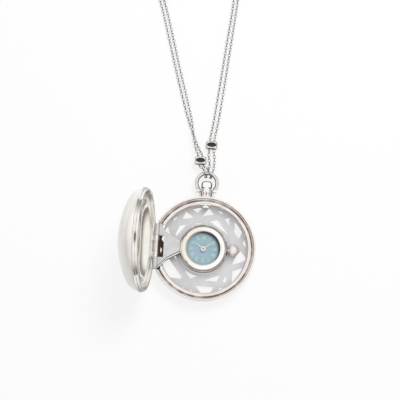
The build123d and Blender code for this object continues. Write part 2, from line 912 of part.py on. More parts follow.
def movement_plate():
    """Main plate with the recess for the motion works, the stem's slot and the two posts."""
    plate = disc(plate_radius, plate_bottom, plate_top)
    lift = (works_floor, plate_top + overrun)
    centre_recess = gear_module * (hour_wheel_teeth / 2 + tooth_top_share) + works_clearance
    wheel_recess = gear_module * (minute_wheel_teeth / 2 + tooth_top_share) + works_clearance
    plate -= disc(centre_recess, *lift)
    plate -= Pos(*wheel_place, 0) * disc(wheel_recess, *lift)
    plate -= block(
        (crown_stem_start - lever_length - lever_gap, plate_radius + overrun),
        (-stem_slot_half, stem_slot_half),
        (crown_height - stem_slot_half, plate_top + overrun),
    )
    plate += disc(centre_post_radius, plate_bottom, hour_hand_bottom)
    wheel_post_top = upper_gear_bottom + upper_pinion_thickness
    plate += Pos(*wheel_place, 0) * disc(wheel_post_radius, plate_bottom, wheel_post_top)
    return plate


def cannon_pinion():
    bore = centre_post_radius + arbor_clearance
    pinion = gear(cannon_teeth, lower_gear_bottom, lower_gear_thickness, bore)
    pipe_top = hour_hand_bottom + hand_layer + hand_thickness
    return pinion + tube(cannon_pipe_radius, bore, lower_gear_bottom, pipe_top)


def minute_wheel():
    """Wheel and pinion in one, turned so that it meshes with the cannon pinion at rest."""
    bore = wheel_post_radius + arbor_clearance
    wheel = gear(minute_wheel_teeth, lower_gear_bottom, lower_gear_thickness, bore)
    half_tooth = 180.0 / minute_wheel_teeth
    meeting = minute_wheel_angle * (1 + cannon_teeth / minute_wheel_teeth) + 180
    wheel = Rot(0, 0, meeting + half_tooth) * wheel
    pinion = gear(minute_pinion_teeth, upper_gear_bottom - gear_gap, upper_pinion_thickness, bore)
    meshed = minute_wheel_angle * (1 + hour_wheel_teeth / minute_pinion_teeth) + 180
    pinion = Rot(0, 0, meshed + 180.0 / minute_pinion_teeth) * pinion
    return Pos(*wheel_place, 0) * (wheel + pinion)


def hour_wheel():
    bore = cannon_pipe_radius + arbor_clearance
    bottom = upper_gear_bottom + upper_gear_thickness
    wheel = gear(hour_wheel_teeth, bottom, upper_gear_thickness, bore)
    return wheel + tube(hour_pipe_radius, bore, bottom, hour_hand_bottom + hand_thickness)


def hand(length, width, boss, bottom, bearing, bore):
    """A tapered hand with a round boss, pointing at a clock bearing."""
    blade = make_face(
        Polyline(
            (-width / 2, 0),
            (-hand_tip_width / 2, length - hand_tip_width),
            (0, length),
            (hand_tip_width / 2, length - hand_tip_width),
            (width / 2, 0),
            close=True,
        )
    )
    shape = blade + Circle(boss) - Circle(bore)
    return Rot(0, 0, -bearing) * (Pos(0, 0, bottom) * extrude(shape, hand_thickness))


def hour_hand():
    return hand(
        hour_hand_length, hour_hand_width, hour_boss_radius, hour_hand_bottom, hour_hand_bearing,
        hour_pipe_radius,
    )


def minute_hand():
    bottom = hour_hand_bottom + hand_layer
    return hand(
        minute_hand_length, minute_hand_width, minute_boss_radius, bottom, minute_hand_bearing,
        cannon_pipe_radius,
    )


def hand_cap():
    bottom = hour_hand_bottom + hand_layer + hand_thickness
    cap = disc(cap_radius, bottom, bottom + cap_height)
    return fillet(cap.edges().sort_by(Axis.Z)[-1], cap_round)


def circuit_block():
    """Crescent board under the plate, clear of the battery."""
    board = disc(plate_radius, plate_bottom - circuit_thickness, plate_bottom)
    board -= Pos(*battery_place, 0) * disc(battery_radius + strap_overhang + works_clearance, 0, plate_top)
    return board - block(
        (-plate_radius, -plate_radius * circuit_left_share),
        (-plate_radius, 0),
        (0, plate_top),
    )


def battery():
    """Button cell with its smaller positive can foot."""
    cell = disc(battery_radius, battery_bottom + battery_foot_height, battery_top)
    cell += disc(battery_radius - works_clearance, battery_bottom, battery_top)
    return Pos(*battery_place, plate_bottom - battery_top) * cell


def battery_strap():
    """Sprung strip across the cell."""
    lift = battery_bottom + plate_bottom - battery_top
    reach = battery_radius + strap_overhang
    strap = block((-reach, reach), (-strap_width / 2, strap_width / 2), (lift - strap_thickness, lift))
    for side in (-1, 1):
        leg = sorted((side * battery_radius + side * strap_overhang, side * battery_radius))
        strap += block(leg, (-strap_width / 2, strap_width / 2), (lift - strap_thickness, plate_bottom))
    strap -= disc(battery_radius, lift, plate_bottom)
    return Pos(*battery_place, 0) * (Rot(0, 0, strap_turn) * strap)


def stepping_coil():
    """Wound coil with a cheek at each end, under the circuit board."""
    level = plate_bottom - circuit_thickness - coil_cheek_radius
    coil = rod_x(coil_radius, coil_place, level, -coil_half_length, coil_half_length)
    for side in (-1, 1):
        ends = sorted((side * coil_half_length, side * (coil_half_length - coil_cheek_length)))
        coil += rod_x(coil_cheek_radius, coil_place, level, *ends)
    return coil


def train_cover():
    """Closed cover over the rotor and the reduction wheels."""
    width, depth = train_cover_size
    top = plate_bottom - circuit_thickness
    plan = RectangleRounded(width, depth, train_cover_round)
    return Pos(*train_cover_place, train_cover_bottom) * extrude(plan, top - train_cover_bottom)


# Chain: two strands from the bow to the coil on the left, and back from the coil on the right


def bow_turn(name):
    """Places of a strand where it goes over and under the bow's wire."""
    x = strand_lead[name]
    wire = bow_centre + sqrt(bow_mean_radius**2 - x**2)
    reach = bow_wire_radius + chain_diameter / 2 + chain_bow_clearance
    inside = wire - reach
    return (x, inside, neck_height), (x, inside, neck_height + reach), (x, inside, neck_height - reach)


def coil_end(name, side, before=0):
    """Where a strand meets the coil, or a point before it, at the lower left or the upper right."""
    radius = coil_radius_start + (coil_spacing if name == "b" else 0)
    shift = 0 if side < 0 else 2 * coil_spacing
    lift = 0 if side < 0 else coil_layer
    return (coil_centre[0] + shift + side * radius, coil_centre[1] - before, coil_centre[2] + lift)


# Places on each strand, before its bead and from the bead to the coil: side -1 is the left run
run_points = {
    (-1, "a"): (
        [(-1.55, 31.0, 4.42)],
        [
            (-5.05, 38.6, 2.95), (-6.3, 44.3, 2.45), (-7.2, 50.4, 1.9), (-10.8, 59.6, 0.9),
            (-16.0, 71.6, 0.7), (-21.4, 85.0, 0.7), (-26.9, 97.6, 0.7), (-30.4, 107.4, 0.7),
        ],
    ),
    (-1, "b"): (
        [(0.1, 31.0, 4.4)],
        [
            (-3.5, 38.5, 2.0), (-6.1, 44.5, 0.72), (-9.05, 50.6, 0.7), (-13.0, 59.9, 0.7),
            (-18.1, 72.1, 0.7), (-23.4, 85.5, 0.7), (-28.9, 98.4, 0.7), (-32.4, 108.0, 0.7),
        ],
    ),
    (1, "a"): (
        [(0.35, 30.6, 1.5), (0.75, 33.6, 1.42), (0.1, 36.6, 1.38)],
        [
            (0.75, 48.6, 0.75), (1.2, 56.0, 0.7), (1.9, 69.0, 0.7), (2.4, 83.5, 0.7),
            (3.3, 97.6, 0.75), (4.2, 107.6, 2.0),
        ],
    ),
    (1, "b"): (
        [(2.1, 30.6, 1.5), (2.55, 33.6, 1.42), (2.35, 36.6, 1.38)],
        [
            (2.55, 48.6, 0.75), (3.1, 56.0, 0.7), (3.8, 69.0, 0.7), (4.3, 83.5, 0.7),
            (5.1, 97.6, 0.75), (6.1, 107.6, 2.0),
        ],
    ),
}


def route(side, name):
    """Corners of a strand's centre line, from the bow's wire through the side's bead to the coil."""
    start, over, under = bow_turn(name)
    bead = left_bead if side < 0 else right_bead
    bead_x = bead[0] + (strand_half if name == "b" else -strand_half)
    reach = bead_half + bead_lead
    in_bead = [(bead_x, bead[1] + way * reach, bead[2]) for way in (-1, 1)]
    before, after = run_points[side, name]
    lead = [start, over if side < 0 else under]
    return lead + before + in_bead + after + [coil_end(name, side, coil_lead), coil_end(name, side)]


def corner_radii(points):
    """Each corner's arc takes a share of its shorter run, and more of it in the turn round the bow's wire."""
    radii = []
    for before, corner, after in zip(points, points[1:], points[2:]):
        turn = radians((Vector(*corner) - Vector(*before)).get_angle(Vector(*after) - Vector(*corner)))
        shorter = min(dist(before, corner), dist(corner, after))
        share = run_share if radii else bow_turn_share
        radii.append(share * shorter / tan(turn / 2))
    return radii


def strand(points, label):
    """A straight-and-arc tube along a route, with its radii and volume printed."""
    radii = corner_radii(points)
    path = FilletPolyline(*points, radius=radii)
    section = Plane(origin=path @ 0, z_dir=path % 0) * Circle(chain_diameter / 2)
    solid = sweep(section, path)
    expected = pi * (chain_diameter / 2) ** 2 * path.length
    print(label, "length", round(path.length, 1), "volume share", round(solid.volume / expected, 4))
    print("  radii", [round(radius, 1) for radius in radii])
    return solid


def run(side):
    return Compound([strand(route(side, name), f"run {side} {name}").solid() for name in ("a", "b")])


def coil_path(name):
    """Half circles that close in below, climb one layer in a tilted half circle, and open out above."""
    point = Vector(*coil_end(name, -1))
    first = coil_radius_start + (coil_spacing if name == "b" else 0)
    shrink = [first - coil_spacing * index for index in range(coil_half_turns)]
    radii = shrink + [first - coil_spacing * coil_half_turns] + shrink[::-1]
    edges = []
    for index, radius in enumerate(radii):
        side = 1 if index % 2 == 0 else -1
        climb = coil_layer if index == coil_half_turns else 0
        end = point + Vector(2 * side * radius, 0, climb)
        middle = (point + end) * 0.5 + Vector(0, side * sqrt(radius**2 + (climb / 2) ** 2), 0)
        edges.append(ThreePointArc(point, middle, end))
        point = end
    return Wire(edges)


def coil_gap(paths):
    """Least gap between strands, measured on points along both centre lines."""
    lines = []
    for path in paths:
        count = int(path.length / chain_diameter)
        lines.append([path @ (index / count) for index in range(count)])
    least = inf
    for first, line in enumerate(lines):
        for second, other in enumerate(lines):
            for index, point in enumerate(line):
                for place, near in enumerate(other):
                    if first == second and abs(index - place) < neighbour_steps:
                        continue
                    if abs(point.Z - near.Z) < least:
                        least = min(least, (point - near).length)
    return least - chain_diameter


def chain_coil():
    paths = [coil_path(name) for name in ("a", "b")]
    solids = []
    for name, path in zip(("a", "b"), paths):
        section = Plane(origin=path @ 0, z_dir=path % 0) * Circle(chain_diameter / 2)
        solid = sweep(section, path)
        expected = pi * (chain_diameter / 2) ** 2 * path.length
        print("coil", name, "length", round(path.length, 1), "share", round(solid.volume / expected, 4))
        solids.append(solid.solid())
    print("coil least gap", round(coil_gap(paths), 3))
    return Compound(solids)


def bead_slot(place, clearance):
    """The slot that both strands go through, wider than them by a clearance."""
    height = chain_diameter + 2 * clearance
    slot = SlotOverall(strand_spacing + height, height)
    lie = Plane(origin=(place[0], place[1] - bead_half - overrun, place[2]), x_dir=(1, 0, 0), z_dir=(0, 1, 0))
    return extrude(lie * slot, bead_length + 2 * overrun)


def bead_core(place, inset):
    lie = Plane(origin=(place[0], place[1] - bead_half + inset, place[2]), x_dir=(1, 0, 0), z_dir=(0, 1, 0))
    return extrude(lie * SlotOverall(bead_grip_width, bead_grip_height), bead_length - 2 * inset)


def bead_shell(place):
    """Oval metal sleeve with rounded edges and an oval window above and below."""
    lie = Plane(origin=(place[0], place[1] - bead_half, place[2]), x_dir=(1, 0, 0), z_dir=(0, 1, 0))
    body = extrude(lie * SlotOverall(bead_width, bead_height), bead_length)
    body = fillet(body.edges().filter_by(Axis.Y, reverse=True), bead_edge_round)
    window = extrude(Ellipse(bead_window_width / 2, bead_window_length / 2), bead_height, both=True)
    return body - bead_core(place, -overrun) - Pos(*place) * window


def bead_grip(place):
    """Dark lining that holds the bead on both strands."""
    return bead_core(place, bead_grip_inset) - bead_slot(place, bead_slot_clearance)


pieces = {
    "case_ring": case_ring,
    "openwork_back": openwork_back,
    "case_bridge": case_bridge,
    "hinge_pin": hinge_pin,
    "cover_dome": cover_dome,
    "cover_rim": cover_rim,
    "hinge_leaf": hinge_leaf,
    "catch_lug": catch_lug,
    "stone_collet": stone_collet,
    "cover_stone": cover_stone,
    "collar": collar,
    "release_button": release_button,
    "button_spring": button_spring,
    "bow": bow,
    "middle_case": middle_case,
    "case_back": case_back,
    "case_back_gasket": case_back_gasket,
    "watch_bezel": watch_bezel,
    "crystal": crystal,
    "crystal_gasket": crystal_gasket,
    "flange_ring": flange_ring,
    "dial": dial,
    "crown": crown,
    "crown_tube": crown_tube,
    "winding_stem": winding_stem,
    "setting_lever": setting_lever,
    "movement_plate": movement_plate,
    "cannon_pinion": cannon_pinion,
    "minute_wheel": minute_wheel,
    "hour_wheel": hour_wheel,
    "hour_hand": hour_hand,
    "minute_hand": minute_hand,
    "hand_cap": hand_cap,
    "circuit_block": circuit_block,
    "battery": battery,
    "battery_strap": battery_strap,
    "stepping_coil": stepping_coil,
    "train_cover": train_cover,
    "chain_left_run": lambda: run(-1),
    "chain_right_run": lambda: run(1),
    "chain_coil": chain_coil,
    "left_bead": lambda: bead_shell(left_bead),
    "left_bead_grip": lambda: bead_grip(left_bead),
    "right_bead": lambda: bead_shell(right_bead),
    "right_bead_grip": lambda: bead_grip(right_bead),
}

for name, make in pieces.items():
    export_step(make(), f"parts/{name}.step")
print(len(pieces), "nodes written")
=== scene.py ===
from math import cos, pi, radians, sin, sqrt

import bmesh
import bpy
import numpy as np
from mathutils import Matrix


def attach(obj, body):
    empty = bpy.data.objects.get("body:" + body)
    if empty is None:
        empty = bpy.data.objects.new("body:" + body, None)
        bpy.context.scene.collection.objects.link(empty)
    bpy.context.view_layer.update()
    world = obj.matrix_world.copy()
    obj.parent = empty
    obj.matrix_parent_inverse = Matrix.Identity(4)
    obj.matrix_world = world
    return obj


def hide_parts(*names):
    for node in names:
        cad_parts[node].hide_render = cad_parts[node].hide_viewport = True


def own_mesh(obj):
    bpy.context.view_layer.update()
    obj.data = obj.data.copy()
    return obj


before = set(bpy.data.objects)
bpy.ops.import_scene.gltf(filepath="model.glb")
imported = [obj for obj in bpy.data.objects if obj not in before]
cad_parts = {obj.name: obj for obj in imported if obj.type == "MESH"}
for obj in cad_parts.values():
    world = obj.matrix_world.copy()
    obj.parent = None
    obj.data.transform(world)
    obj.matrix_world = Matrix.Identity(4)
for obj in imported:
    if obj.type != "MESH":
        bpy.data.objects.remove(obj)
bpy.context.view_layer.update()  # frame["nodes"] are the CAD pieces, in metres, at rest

mm = 0.001  # lengths below are in millimetres

# Camera, fitted to the photograph's frame

view = dict(
    target=(-2.29, 19.06, 2.5),  # the middle of the picture
    distance=412.72,
    tilt=9.28,  # degrees from straight down, towards 6 o'clock
    roll=3.25,  # degrees, the picture's top leans to the left
    frameWidth=154.16,  # across the picture at the target
    sensor=36.0,
    nearest=10.0,
    farthest=10000.0,
)


def standAt(thing, place, right, top, back):
    # sets a camera or lamp at a place, looking against its back
    matrix = np.eye(4)
    matrix[:3, :3] = np.stack([right, top, back], axis=1)
    matrix[:3, 3] = np.array(place) * mm
    thing.matrix_world = Matrix(matrix.tolist())
    bpy.context.scene.collection.objects.link(thing)


def placeCamera():
    tilt, roll = radians(view["tilt"]), radians(view["roll"])
    up = np.array([0.0, cos(tilt), sin(tilt)])
    side = np.array([1.0, 0.0, 0.0])
    back = np.array([0.0, -sin(tilt), cos(tilt)])  # from the target to the camera
    right = cos(roll) * side + sin(roll) * up
    top = cos(roll) * up - sin(roll) * side
    camera = bpy.data.cameras.new("camera")
    camera.sensor_width = view["sensor"]
    camera.lens = view["sensor"] * view["distance"] / view["frameWidth"]
    camera.clip_start, camera.clip_end = view["nearest"] * mm, view["farthest"] * mm
    seat = bpy.data.objects.new("camera", camera)
    standAt(seat, np.array(view["target"]) + back * view["distance"], right, top, back)
    bpy.context.scene.camera = seat


placeCamera()
bpy.context.scene.view_settings.view_transform = "Standard"
print("camera placed")


# Meshes from arrays


def meshObject(name, points, faces, smooth=True):
    # points in any array whose last axis is x, y, z
    flat = np.asarray(points, float).reshape(-1, 3) * mm
    mesh = bpy.data.meshes.new(name)
    mesh.from_pydata(flat.tolist(), [], np.asarray(faces).tolist())
    mesh.polygons.foreach_set("use_smooth", np.full(len(mesh.polygons), smooth))
    mesh.update()
    piece = bpy.data.objects.new(name, mesh)
    bpy.context.scene.collection.objects.link(piece)
    return piece


def tidyMesh(piece, merge):
    # merges points nearer than merge, drops what has no size then, and turns every face outwards
    work = bmesh.new()
    work.from_mesh(piece.data)
    bmesh.ops.remove_doubles(work, verts=work.verts, dist=merge * mm)
    bmesh.ops.dissolve_degenerate(work, edges=work.edges, dist=merge * mm / 2)
    bmesh.ops.recalc_face_normals(work, faces=work.faces)
    work.to_mesh(piece.data)
    work.free()
    return piece


def unit(vectors):
    return vectors / np.linalg.norm(vectors, axis=-1, keepdims=True)


# Chain: two strands from the bow up the left, round the put-away coil, and down the right to the bow

chain = dict(
    diameter=1.3,
    pitch=1.16,
    linkHalfLength=0.75,  # of the wire's centre line
    linkHalfWidth=0.47,
    wire=0.165,  # radius
    aroundLink=10,  # points
    aroundWire=5,
    rollWander=0.22,  # radians that the links lean from square, wandering along the strand
    wanderPaces=(5.3, 13.1, 31.7),  # links to a radian of the three waves in that lean
    steepest=0.15,  # a strand whose direction is less level than this share is taken as upright
    merge=0.0005,
    strandSpacing=1.7,
    layer=2.0,
    coilCentre=(-15.5, 121.0, 0.7),
    coilSpacing=2.0,
    coilHalfTurns=5,
    coilLead=5.5,  # how far before the coil a run is straight
    coilStart=16.0,
    pointsInHalfTurn=6,
    splineShare=0.966,  # the spline's radius over that of its twelve points a turn
    splineOrder=3,
    splineSteps=24,
    shortest=0.000001,  # steps of the spline below this are left out
    bowCentre=25.65,
    bowRadius=4.0,
    bowHeight=3.0,
    bowReach=1.6,  # how far a strand's turn goes round the bow's wire
    lead={"a": -0.6, "b": 1.35},  # where each strand lies on the bow, across
    leftBead=(-2.95, 34.3, 3.4),
    rightBead=(1.05, 41.05, 1.4),
    beadReach=1.9,
    seeds={"a": 3, "b": 8},
    runs={  # side -1 is left: points between bow and bead, then between bead and coil
        (-1, "a"): (
            [(-1.55, 31.0, 4.42)],
            [
                (-5.05, 38.6, 2.95), (-6.3, 44.3, 2.45), (-7.1, 50.4, 1.9), (-9.75, 59.7, 0.9),
                (-13.3, 71.8, 0.7), (-16.95, 85.3, 0.7), (-20.5, 98.0, 0.7), (-24.6, 107.6, 0.7),
            ],
        ),
        (-1, "b"): (
            [(0.1, 31.0, 4.4)],
            [
                (-3.5, 38.5, 2.0), (-6.1, 44.5, 0.72), (-8.6, 50.6, 0.7), (-11.5, 60.0, 0.7),
                (-15.1, 72.3, 0.7), (-18.8, 85.8, 0.7), (-22.4, 98.8, 0.7), (-26.8, 108.2, 0.7),
            ],
        ),
        (1, "a"): (
            [(0.35, 30.6, 1.5), (0.75, 33.6, 1.42), (0.1, 36.6, 1.38)],
            [
                (1.1, 48.6, 0.75), (1.98, 56.0, 0.7), (3.42, 69.1, 0.7), (4.9, 83.6, 0.7),
                (6.6, 97.8, 0.75), (6.8, 107.8, 2.0),
            ],
        ),
        (1, "b"): (
            [(2.1, 30.6, 1.5), (2.55, 33.6, 1.42), (2.35, 36.6, 1.38)],
            [
                (2.9, 48.6, 0.75), (3.8, 56.0, 0.7), (5.2, 69.1, 0.7), (6.6, 83.6, 0.7),
                (8.1, 97.8, 0.75), (8.7, 107.8, 2.0),
            ],
        ),
    },
)


def runPoints(side, name):
    # from the bow's wire through the side's bead to the coil
    x = chain["lead"][name]
    inside = chain["bowCentre"] + sqrt(chain["bowRadius"] ** 2 - x**2) - chain["bowReach"]
    height = chain["bowHeight"]
    bead = chain["leftBead"] if side < 0 else chain["rightBead"]
    beadX = bead[0] + (0.5 if name == "b" else -0.5) * chain["strandSpacing"]
    inBead = [(beadX, bead[1] + way * chain["beadReach"], bead[2]) for way in (-1, 1)]
    before, after = chain["runs"][side, name]
    start = [(x, inside, height), (x, inside, height - side * chain["bowReach"])]
    radius = chain["coilStart"] + (chain["coilSpacing"] if name == "b" else 0)
    centre = chain["coilCentre"]
    shift = 0 if side < 0 else 2 * chain["coilSpacing"]
    lift = 0 if side < 0 else chain["layer"]
    lead = (centre[0] + shift + side * radius, centre[1] - chain["coilLead"], centre[2] + lift)
    return start + before + inBead + after + [lead]


def coilPoints(name):
    # half circles that close in below, climb one layer, and open out above
    first = chain["coilStart"] + (chain["coilSpacing"] if name == "b" else 0)
    count = chain["coilHalfTurns"]
    shrink = [first - chain["coilSpacing"] * step for step in range(count)]
    radii = shrink + [first - chain["coilSpacing"] * count] + shrink[::-1]
    share = (np.arange(chain["pointsInHalfTurn"]) + 0.5) / chain["pointsInHalfTurn"]
    start = np.array(chain["coilCentre"]) - (first, 0, 0)
    turns = []
    for step, radius in enumerate(radii):
        side = 1 if step % 2 == 0 else -1
        climb = chain["layer"] if step == count else 0
        reach = radius / chain["splineShare"]
        x = start[0] + side * (radius - reach * np.cos(pi * share))
        y = start[1] + side * reach * np.sin(pi * share)
        turns.append(np.stack([x, y, start[2] + climb * share], axis=1))
        start = start + (2 * side * radius, 0, climb)
    return np.concatenate(turns).tolist()


def splineLine(name, points):
    # the strand's one open spline, read back as points
    curve = bpy.data.curves.new(name, "CURVE")
    curve.dimensions = "3D"
    spline = curve.splines.new("NURBS")
    spline.points.add(len(points) - 1)
    spline.points.foreach_set("co", np.c_[np.array(points) * mm, np.ones(len(points))].ravel())
    spline.order_u = chain["splineOrder"]
    spline.use_endpoint_u = True
    spline.resolution_u = chain["splineSteps"]
    holder = bpy.data.objects.new(name, curve)
    bpy.context.scene.collection.objects.link(holder)
    bpy.context.view_layer.update()
    mesh = bpy.data.meshes.new_from_object(holder)
    line = np.empty(len(mesh.vertices) * 3)
    mesh.vertices.foreach_get("co", line)
    bpy.data.objects.remove(holder)
    bpy.data.curves.remove(curve)
    bpy.data.meshes.remove(mesh)
    return line.reshape(-1, 3) / mm


def evenly(line, spacing):
    # the same line as points a near equal distance apart, and its length
    steps = np.linalg.norm(np.diff(line, axis=0), axis=1)
    line = line[np.concatenate([[True], steps > chain["shortest"]])]
    along = np.concatenate([[0], np.cumsum(np.linalg.norm(np.diff(line, axis=0), axis=1))])
    wanted = np.linspace(0, along[-1], int(round(along[-1] / spacing)) + 1)
    return np.stack([np.interp(wanted, along, line[:, axis]) for axis in range(3)], axis=1), along[-1]


def linkPlaces(line, seed):
    # each link's centre and the directions along, across and through it, a quarter turn from link to link
    spots, _ = evenly(line, chain["pitch"] / 2)
    along = unit(spots[2::2] - spots[:-2:2])
    level = np.cross([0.0, 0.0, 1.0], along)
    upright = np.linalg.norm(level, axis=1, keepdims=True) < chain["steepest"]
    level = unit(np.where(upright, [1.0, 0.0, 0.0], level))
    rise = np.cross(along, level)
    number = np.arange(len(along))
    phases = np.random.default_rng(seed).uniform(0, 2 * pi, len(chain["wanderPaces"]))
    waves = [np.sin(number / pace + phase) for pace, phase in zip(chain["wanderPaces"], phases)]
    roll = (number % 2) * pi / 2 + chain["rollWander"] * sum(waves) / len(waves)
    across = np.cos(roll)[:, None] * level + np.sin(roll)[:, None] * rise
    return spots[1:-1:2], along, across, np.cross(along, across)


def closedGrid(rows, columns):
    # quads between neighbouring rows and columns, the last ones joined to the first
    i, j = np.meshgrid(np.arange(rows), np.arange(columns), indexing="ij")
    nextI, nextJ = (i + 1) % rows, (j + 1) % columns
    corners = [i * columns + j, nextI * columns + j, nextI * columns + nextJ, i * columns + nextJ]
    return np.stack(corners, axis=-1).reshape(-1, 4)


def linkChain(name, line, seed):
    # a link is an ellipse with round wire on it: ellipse(u) + wire * (cos v * its normal + sin v * through)
    centres, along, across, through = linkPlaces(line, seed)
    u = np.arange(chain["aroundLink"]) * 2 * pi / chain["aroundLink"]
    v = np.arange(chain["aroundWire"]) * 2 * pi / chain["aroundWire"]
    halves = np.array([chain["linkHalfLength"], chain["linkHalfWidth"]])
    circle = np.stack([np.cos(u), np.sin(u)], axis=1)
    ellipse, normal = circle * halves, unit(circle * halves[::-1])
    flat = ellipse[:, None, :] + chain["wire"] * np.cos(v)[None, :, None] * normal[:, None, :]
    lift = np.broadcast_to(chain["wire"] * np.sin(v), flat.shape[:2])
    points = (
        centres[:, None, None, :]
        + flat[None, :, :, 0:1] * along[:, None, None, :]
        + flat[None, :, :, 1:2] * across[:, None, None, :]
        + lift[None, :, :, None] * through[:, None, None, :]
    )
    number, pointsInLink = np.arange(len(centres)), flat.shape[0] * flat.shape[1]
    faces = closedGrid(*flat.shape[:2])[None] + (number * pointsInLink)[:, None, None]
    piece = meshObject(name, points, faces.reshape(-1, 4))
    turned = piece.data.attributes.new("turned", "FLOAT", "POINT")  # 1 on the links that stand on edge
    turned.data.foreach_set("value", np.repeat(number % 2, pointsInLink).astype(float))
    return tidyMesh(piece, chain["merge"])


strands = {}
for name, seed in chain["seeds"].items():
    route = runPoints(-1, name) + coilPoints(name) + runPoints(1, name)[::-1]
    line = splineLine(f"strandLine_{name}", route)
    piece = linkChain(f"chain_strand_{name}", line, seed)
    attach(piece, "chain")
    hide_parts("chain_left_run", "chain_right_run", "chain_coil")
    strands[name] = piece


# Dial numerals: thin bars laid on the dial, their feet towards the middle

numerals = dict(
    words=("XII", "I", "II", "III", "IIII", "V", "VI", "VII", "VIII", "IX", "X", "XI"),
    middle=4.5,  # radius of their middle circle
    height=1.5,
    wide=0.62,  # of a V or an X
    narrow=0.30,  # of an I
    thick=0.13,
    thin=0.075,
    dialTop=4.5,
    rise=0.025,
    merge=0.00001,
    strokes={  # from, to, in shares of the letter's width and height, and whether it is a thick one
        "I": [((0.5, 0.0), (0.5, 1.0), True)],
        "V": [((0.0, 1.0), (0.5, 0.0), True), ((0.5, 0.0), (1.0, 1.0), False)],
        "X": [((0.0, 1.0), (1.0, 0.0), True), ((0.0, 0.0), (1.0, 1.0), False)],
    },
    box=[[0, 3, 2, 1], [4, 5, 6, 7], [0, 1, 5, 4], [1, 2, 6, 5], [2, 3, 7, 6], [3, 0, 4, 7]],  # a bar's faces
)


def strokeLines():
    # each stroke's two ends about the middle of its word, half its thickness, and its hour
    starts, ends, half, hours = [], [], [], []
    for hour, word in enumerate(numerals["words"]):
        widths = [numerals["narrow"] if letter == "I" else numerals["wide"] for letter in word]
        left = -sum(widths) / 2
        for letter, width in zip(word, widths):
            for start, end, isThick in numerals["strokes"][letter]:
                starts.append((left + start[0] * width, (start[1] - 0.5) * numerals["height"]))
                ends.append((left + end[0] * width, (end[1] - 0.5) * numerals["height"]))
                half.append(numerals["thick" if isThick else "thin"] / 2)
                hours.append(hour)
            left += width
    return np.array(starts), np.array(ends), np.array(half)[:, None], np.array(hours)


def makeNumerals():
    # a stroke is a bar: its ends moved half its thickness to each side, turned to its hour, and raised
    starts, ends, half, hours = strokeLines()
    along = unit(ends - starts)
    side = np.stack([along[:, 1], -along[:, 0]], axis=1) * half
    corners = np.stack([starts - side, starts + side, ends + side, ends - side], axis=1)
    corners[:, :, 1] += numerals["middle"]
    turn = -hours[:, None] * 2 * pi / len(numerals["words"])
    x = corners[:, :, 0] * np.cos(turn) - corners[:, :, 1] * np.sin(turn)
    y = corners[:, :, 0] * np.sin(turn) + corners[:, :, 1] * np.cos(turn)
    low = np.stack([x, y, np.full_like(x, numerals["dialTop"])], axis=2)
    high = low + (0.0, 0.0, numerals["rise"])
    points = np.concatenate([low, high], axis=1)
    faces = np.array(numerals["box"])[None] + points.shape[1] * np.arange(len(half))[:, None, None]
    piece = meshObject("dial_numerals", points, faces.reshape(-1, 4), smooth=False)
    return tidyMesh(piece, numerals["merge"])


dialNumerals = makeNumerals()
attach(dialNumerals, "case")
print("numerals made:", len(dialNumerals.data.polygons) // len(numerals["box"]), "strokes")


# Finishes as node expressions


class Wire:
    # a number inside a finish, with Python's own signs for its maths
    def __init__(self, look, socket):
        self.look, self.socket = look, socket

    def maths(self, operation, *values):
        return self.look.node("Math", {"operation": operation}, dict(enumerate(values)))

    def __add__(self, other):
        return self.maths("ADD", self, other)

    def __sub__(self, other):
        return self.maths("SUBTRACT", self, other)

    def __rsub__(self, other):
        return self.maths("SUBTRACT", other, self)

    def __mul__(self, other):
        return self.maths("MULTIPLY", self, other)

    def __truediv__(self, other):
        return self.maths("DIVIDE", self, other)

    def __pow__(self, power):
        return self.maths("POWER", self, power)

    def __abs__(self):
        return self.maths("ABSOLUTE", self)

    __radd__, __rmul__ = __add__, __mul__

    def ramp(self, low, high):
        # 0 at low, 1 at high, smooth between
        settings = {"interpolation_type": "SMOOTHSTEP"}
        return self.look.node("MapRange", settings, {"Value": self, "From Min": low, "From Max": high})

    def near(self, low, high):
        # 1 within low of zero, 0 beyond high
        return 1 - abs(self).ramp(low, high)

    def asShare(self):
        # what runs from -1 to 1, made to run from 0 to 1
        return self * 0.5 + 0.5


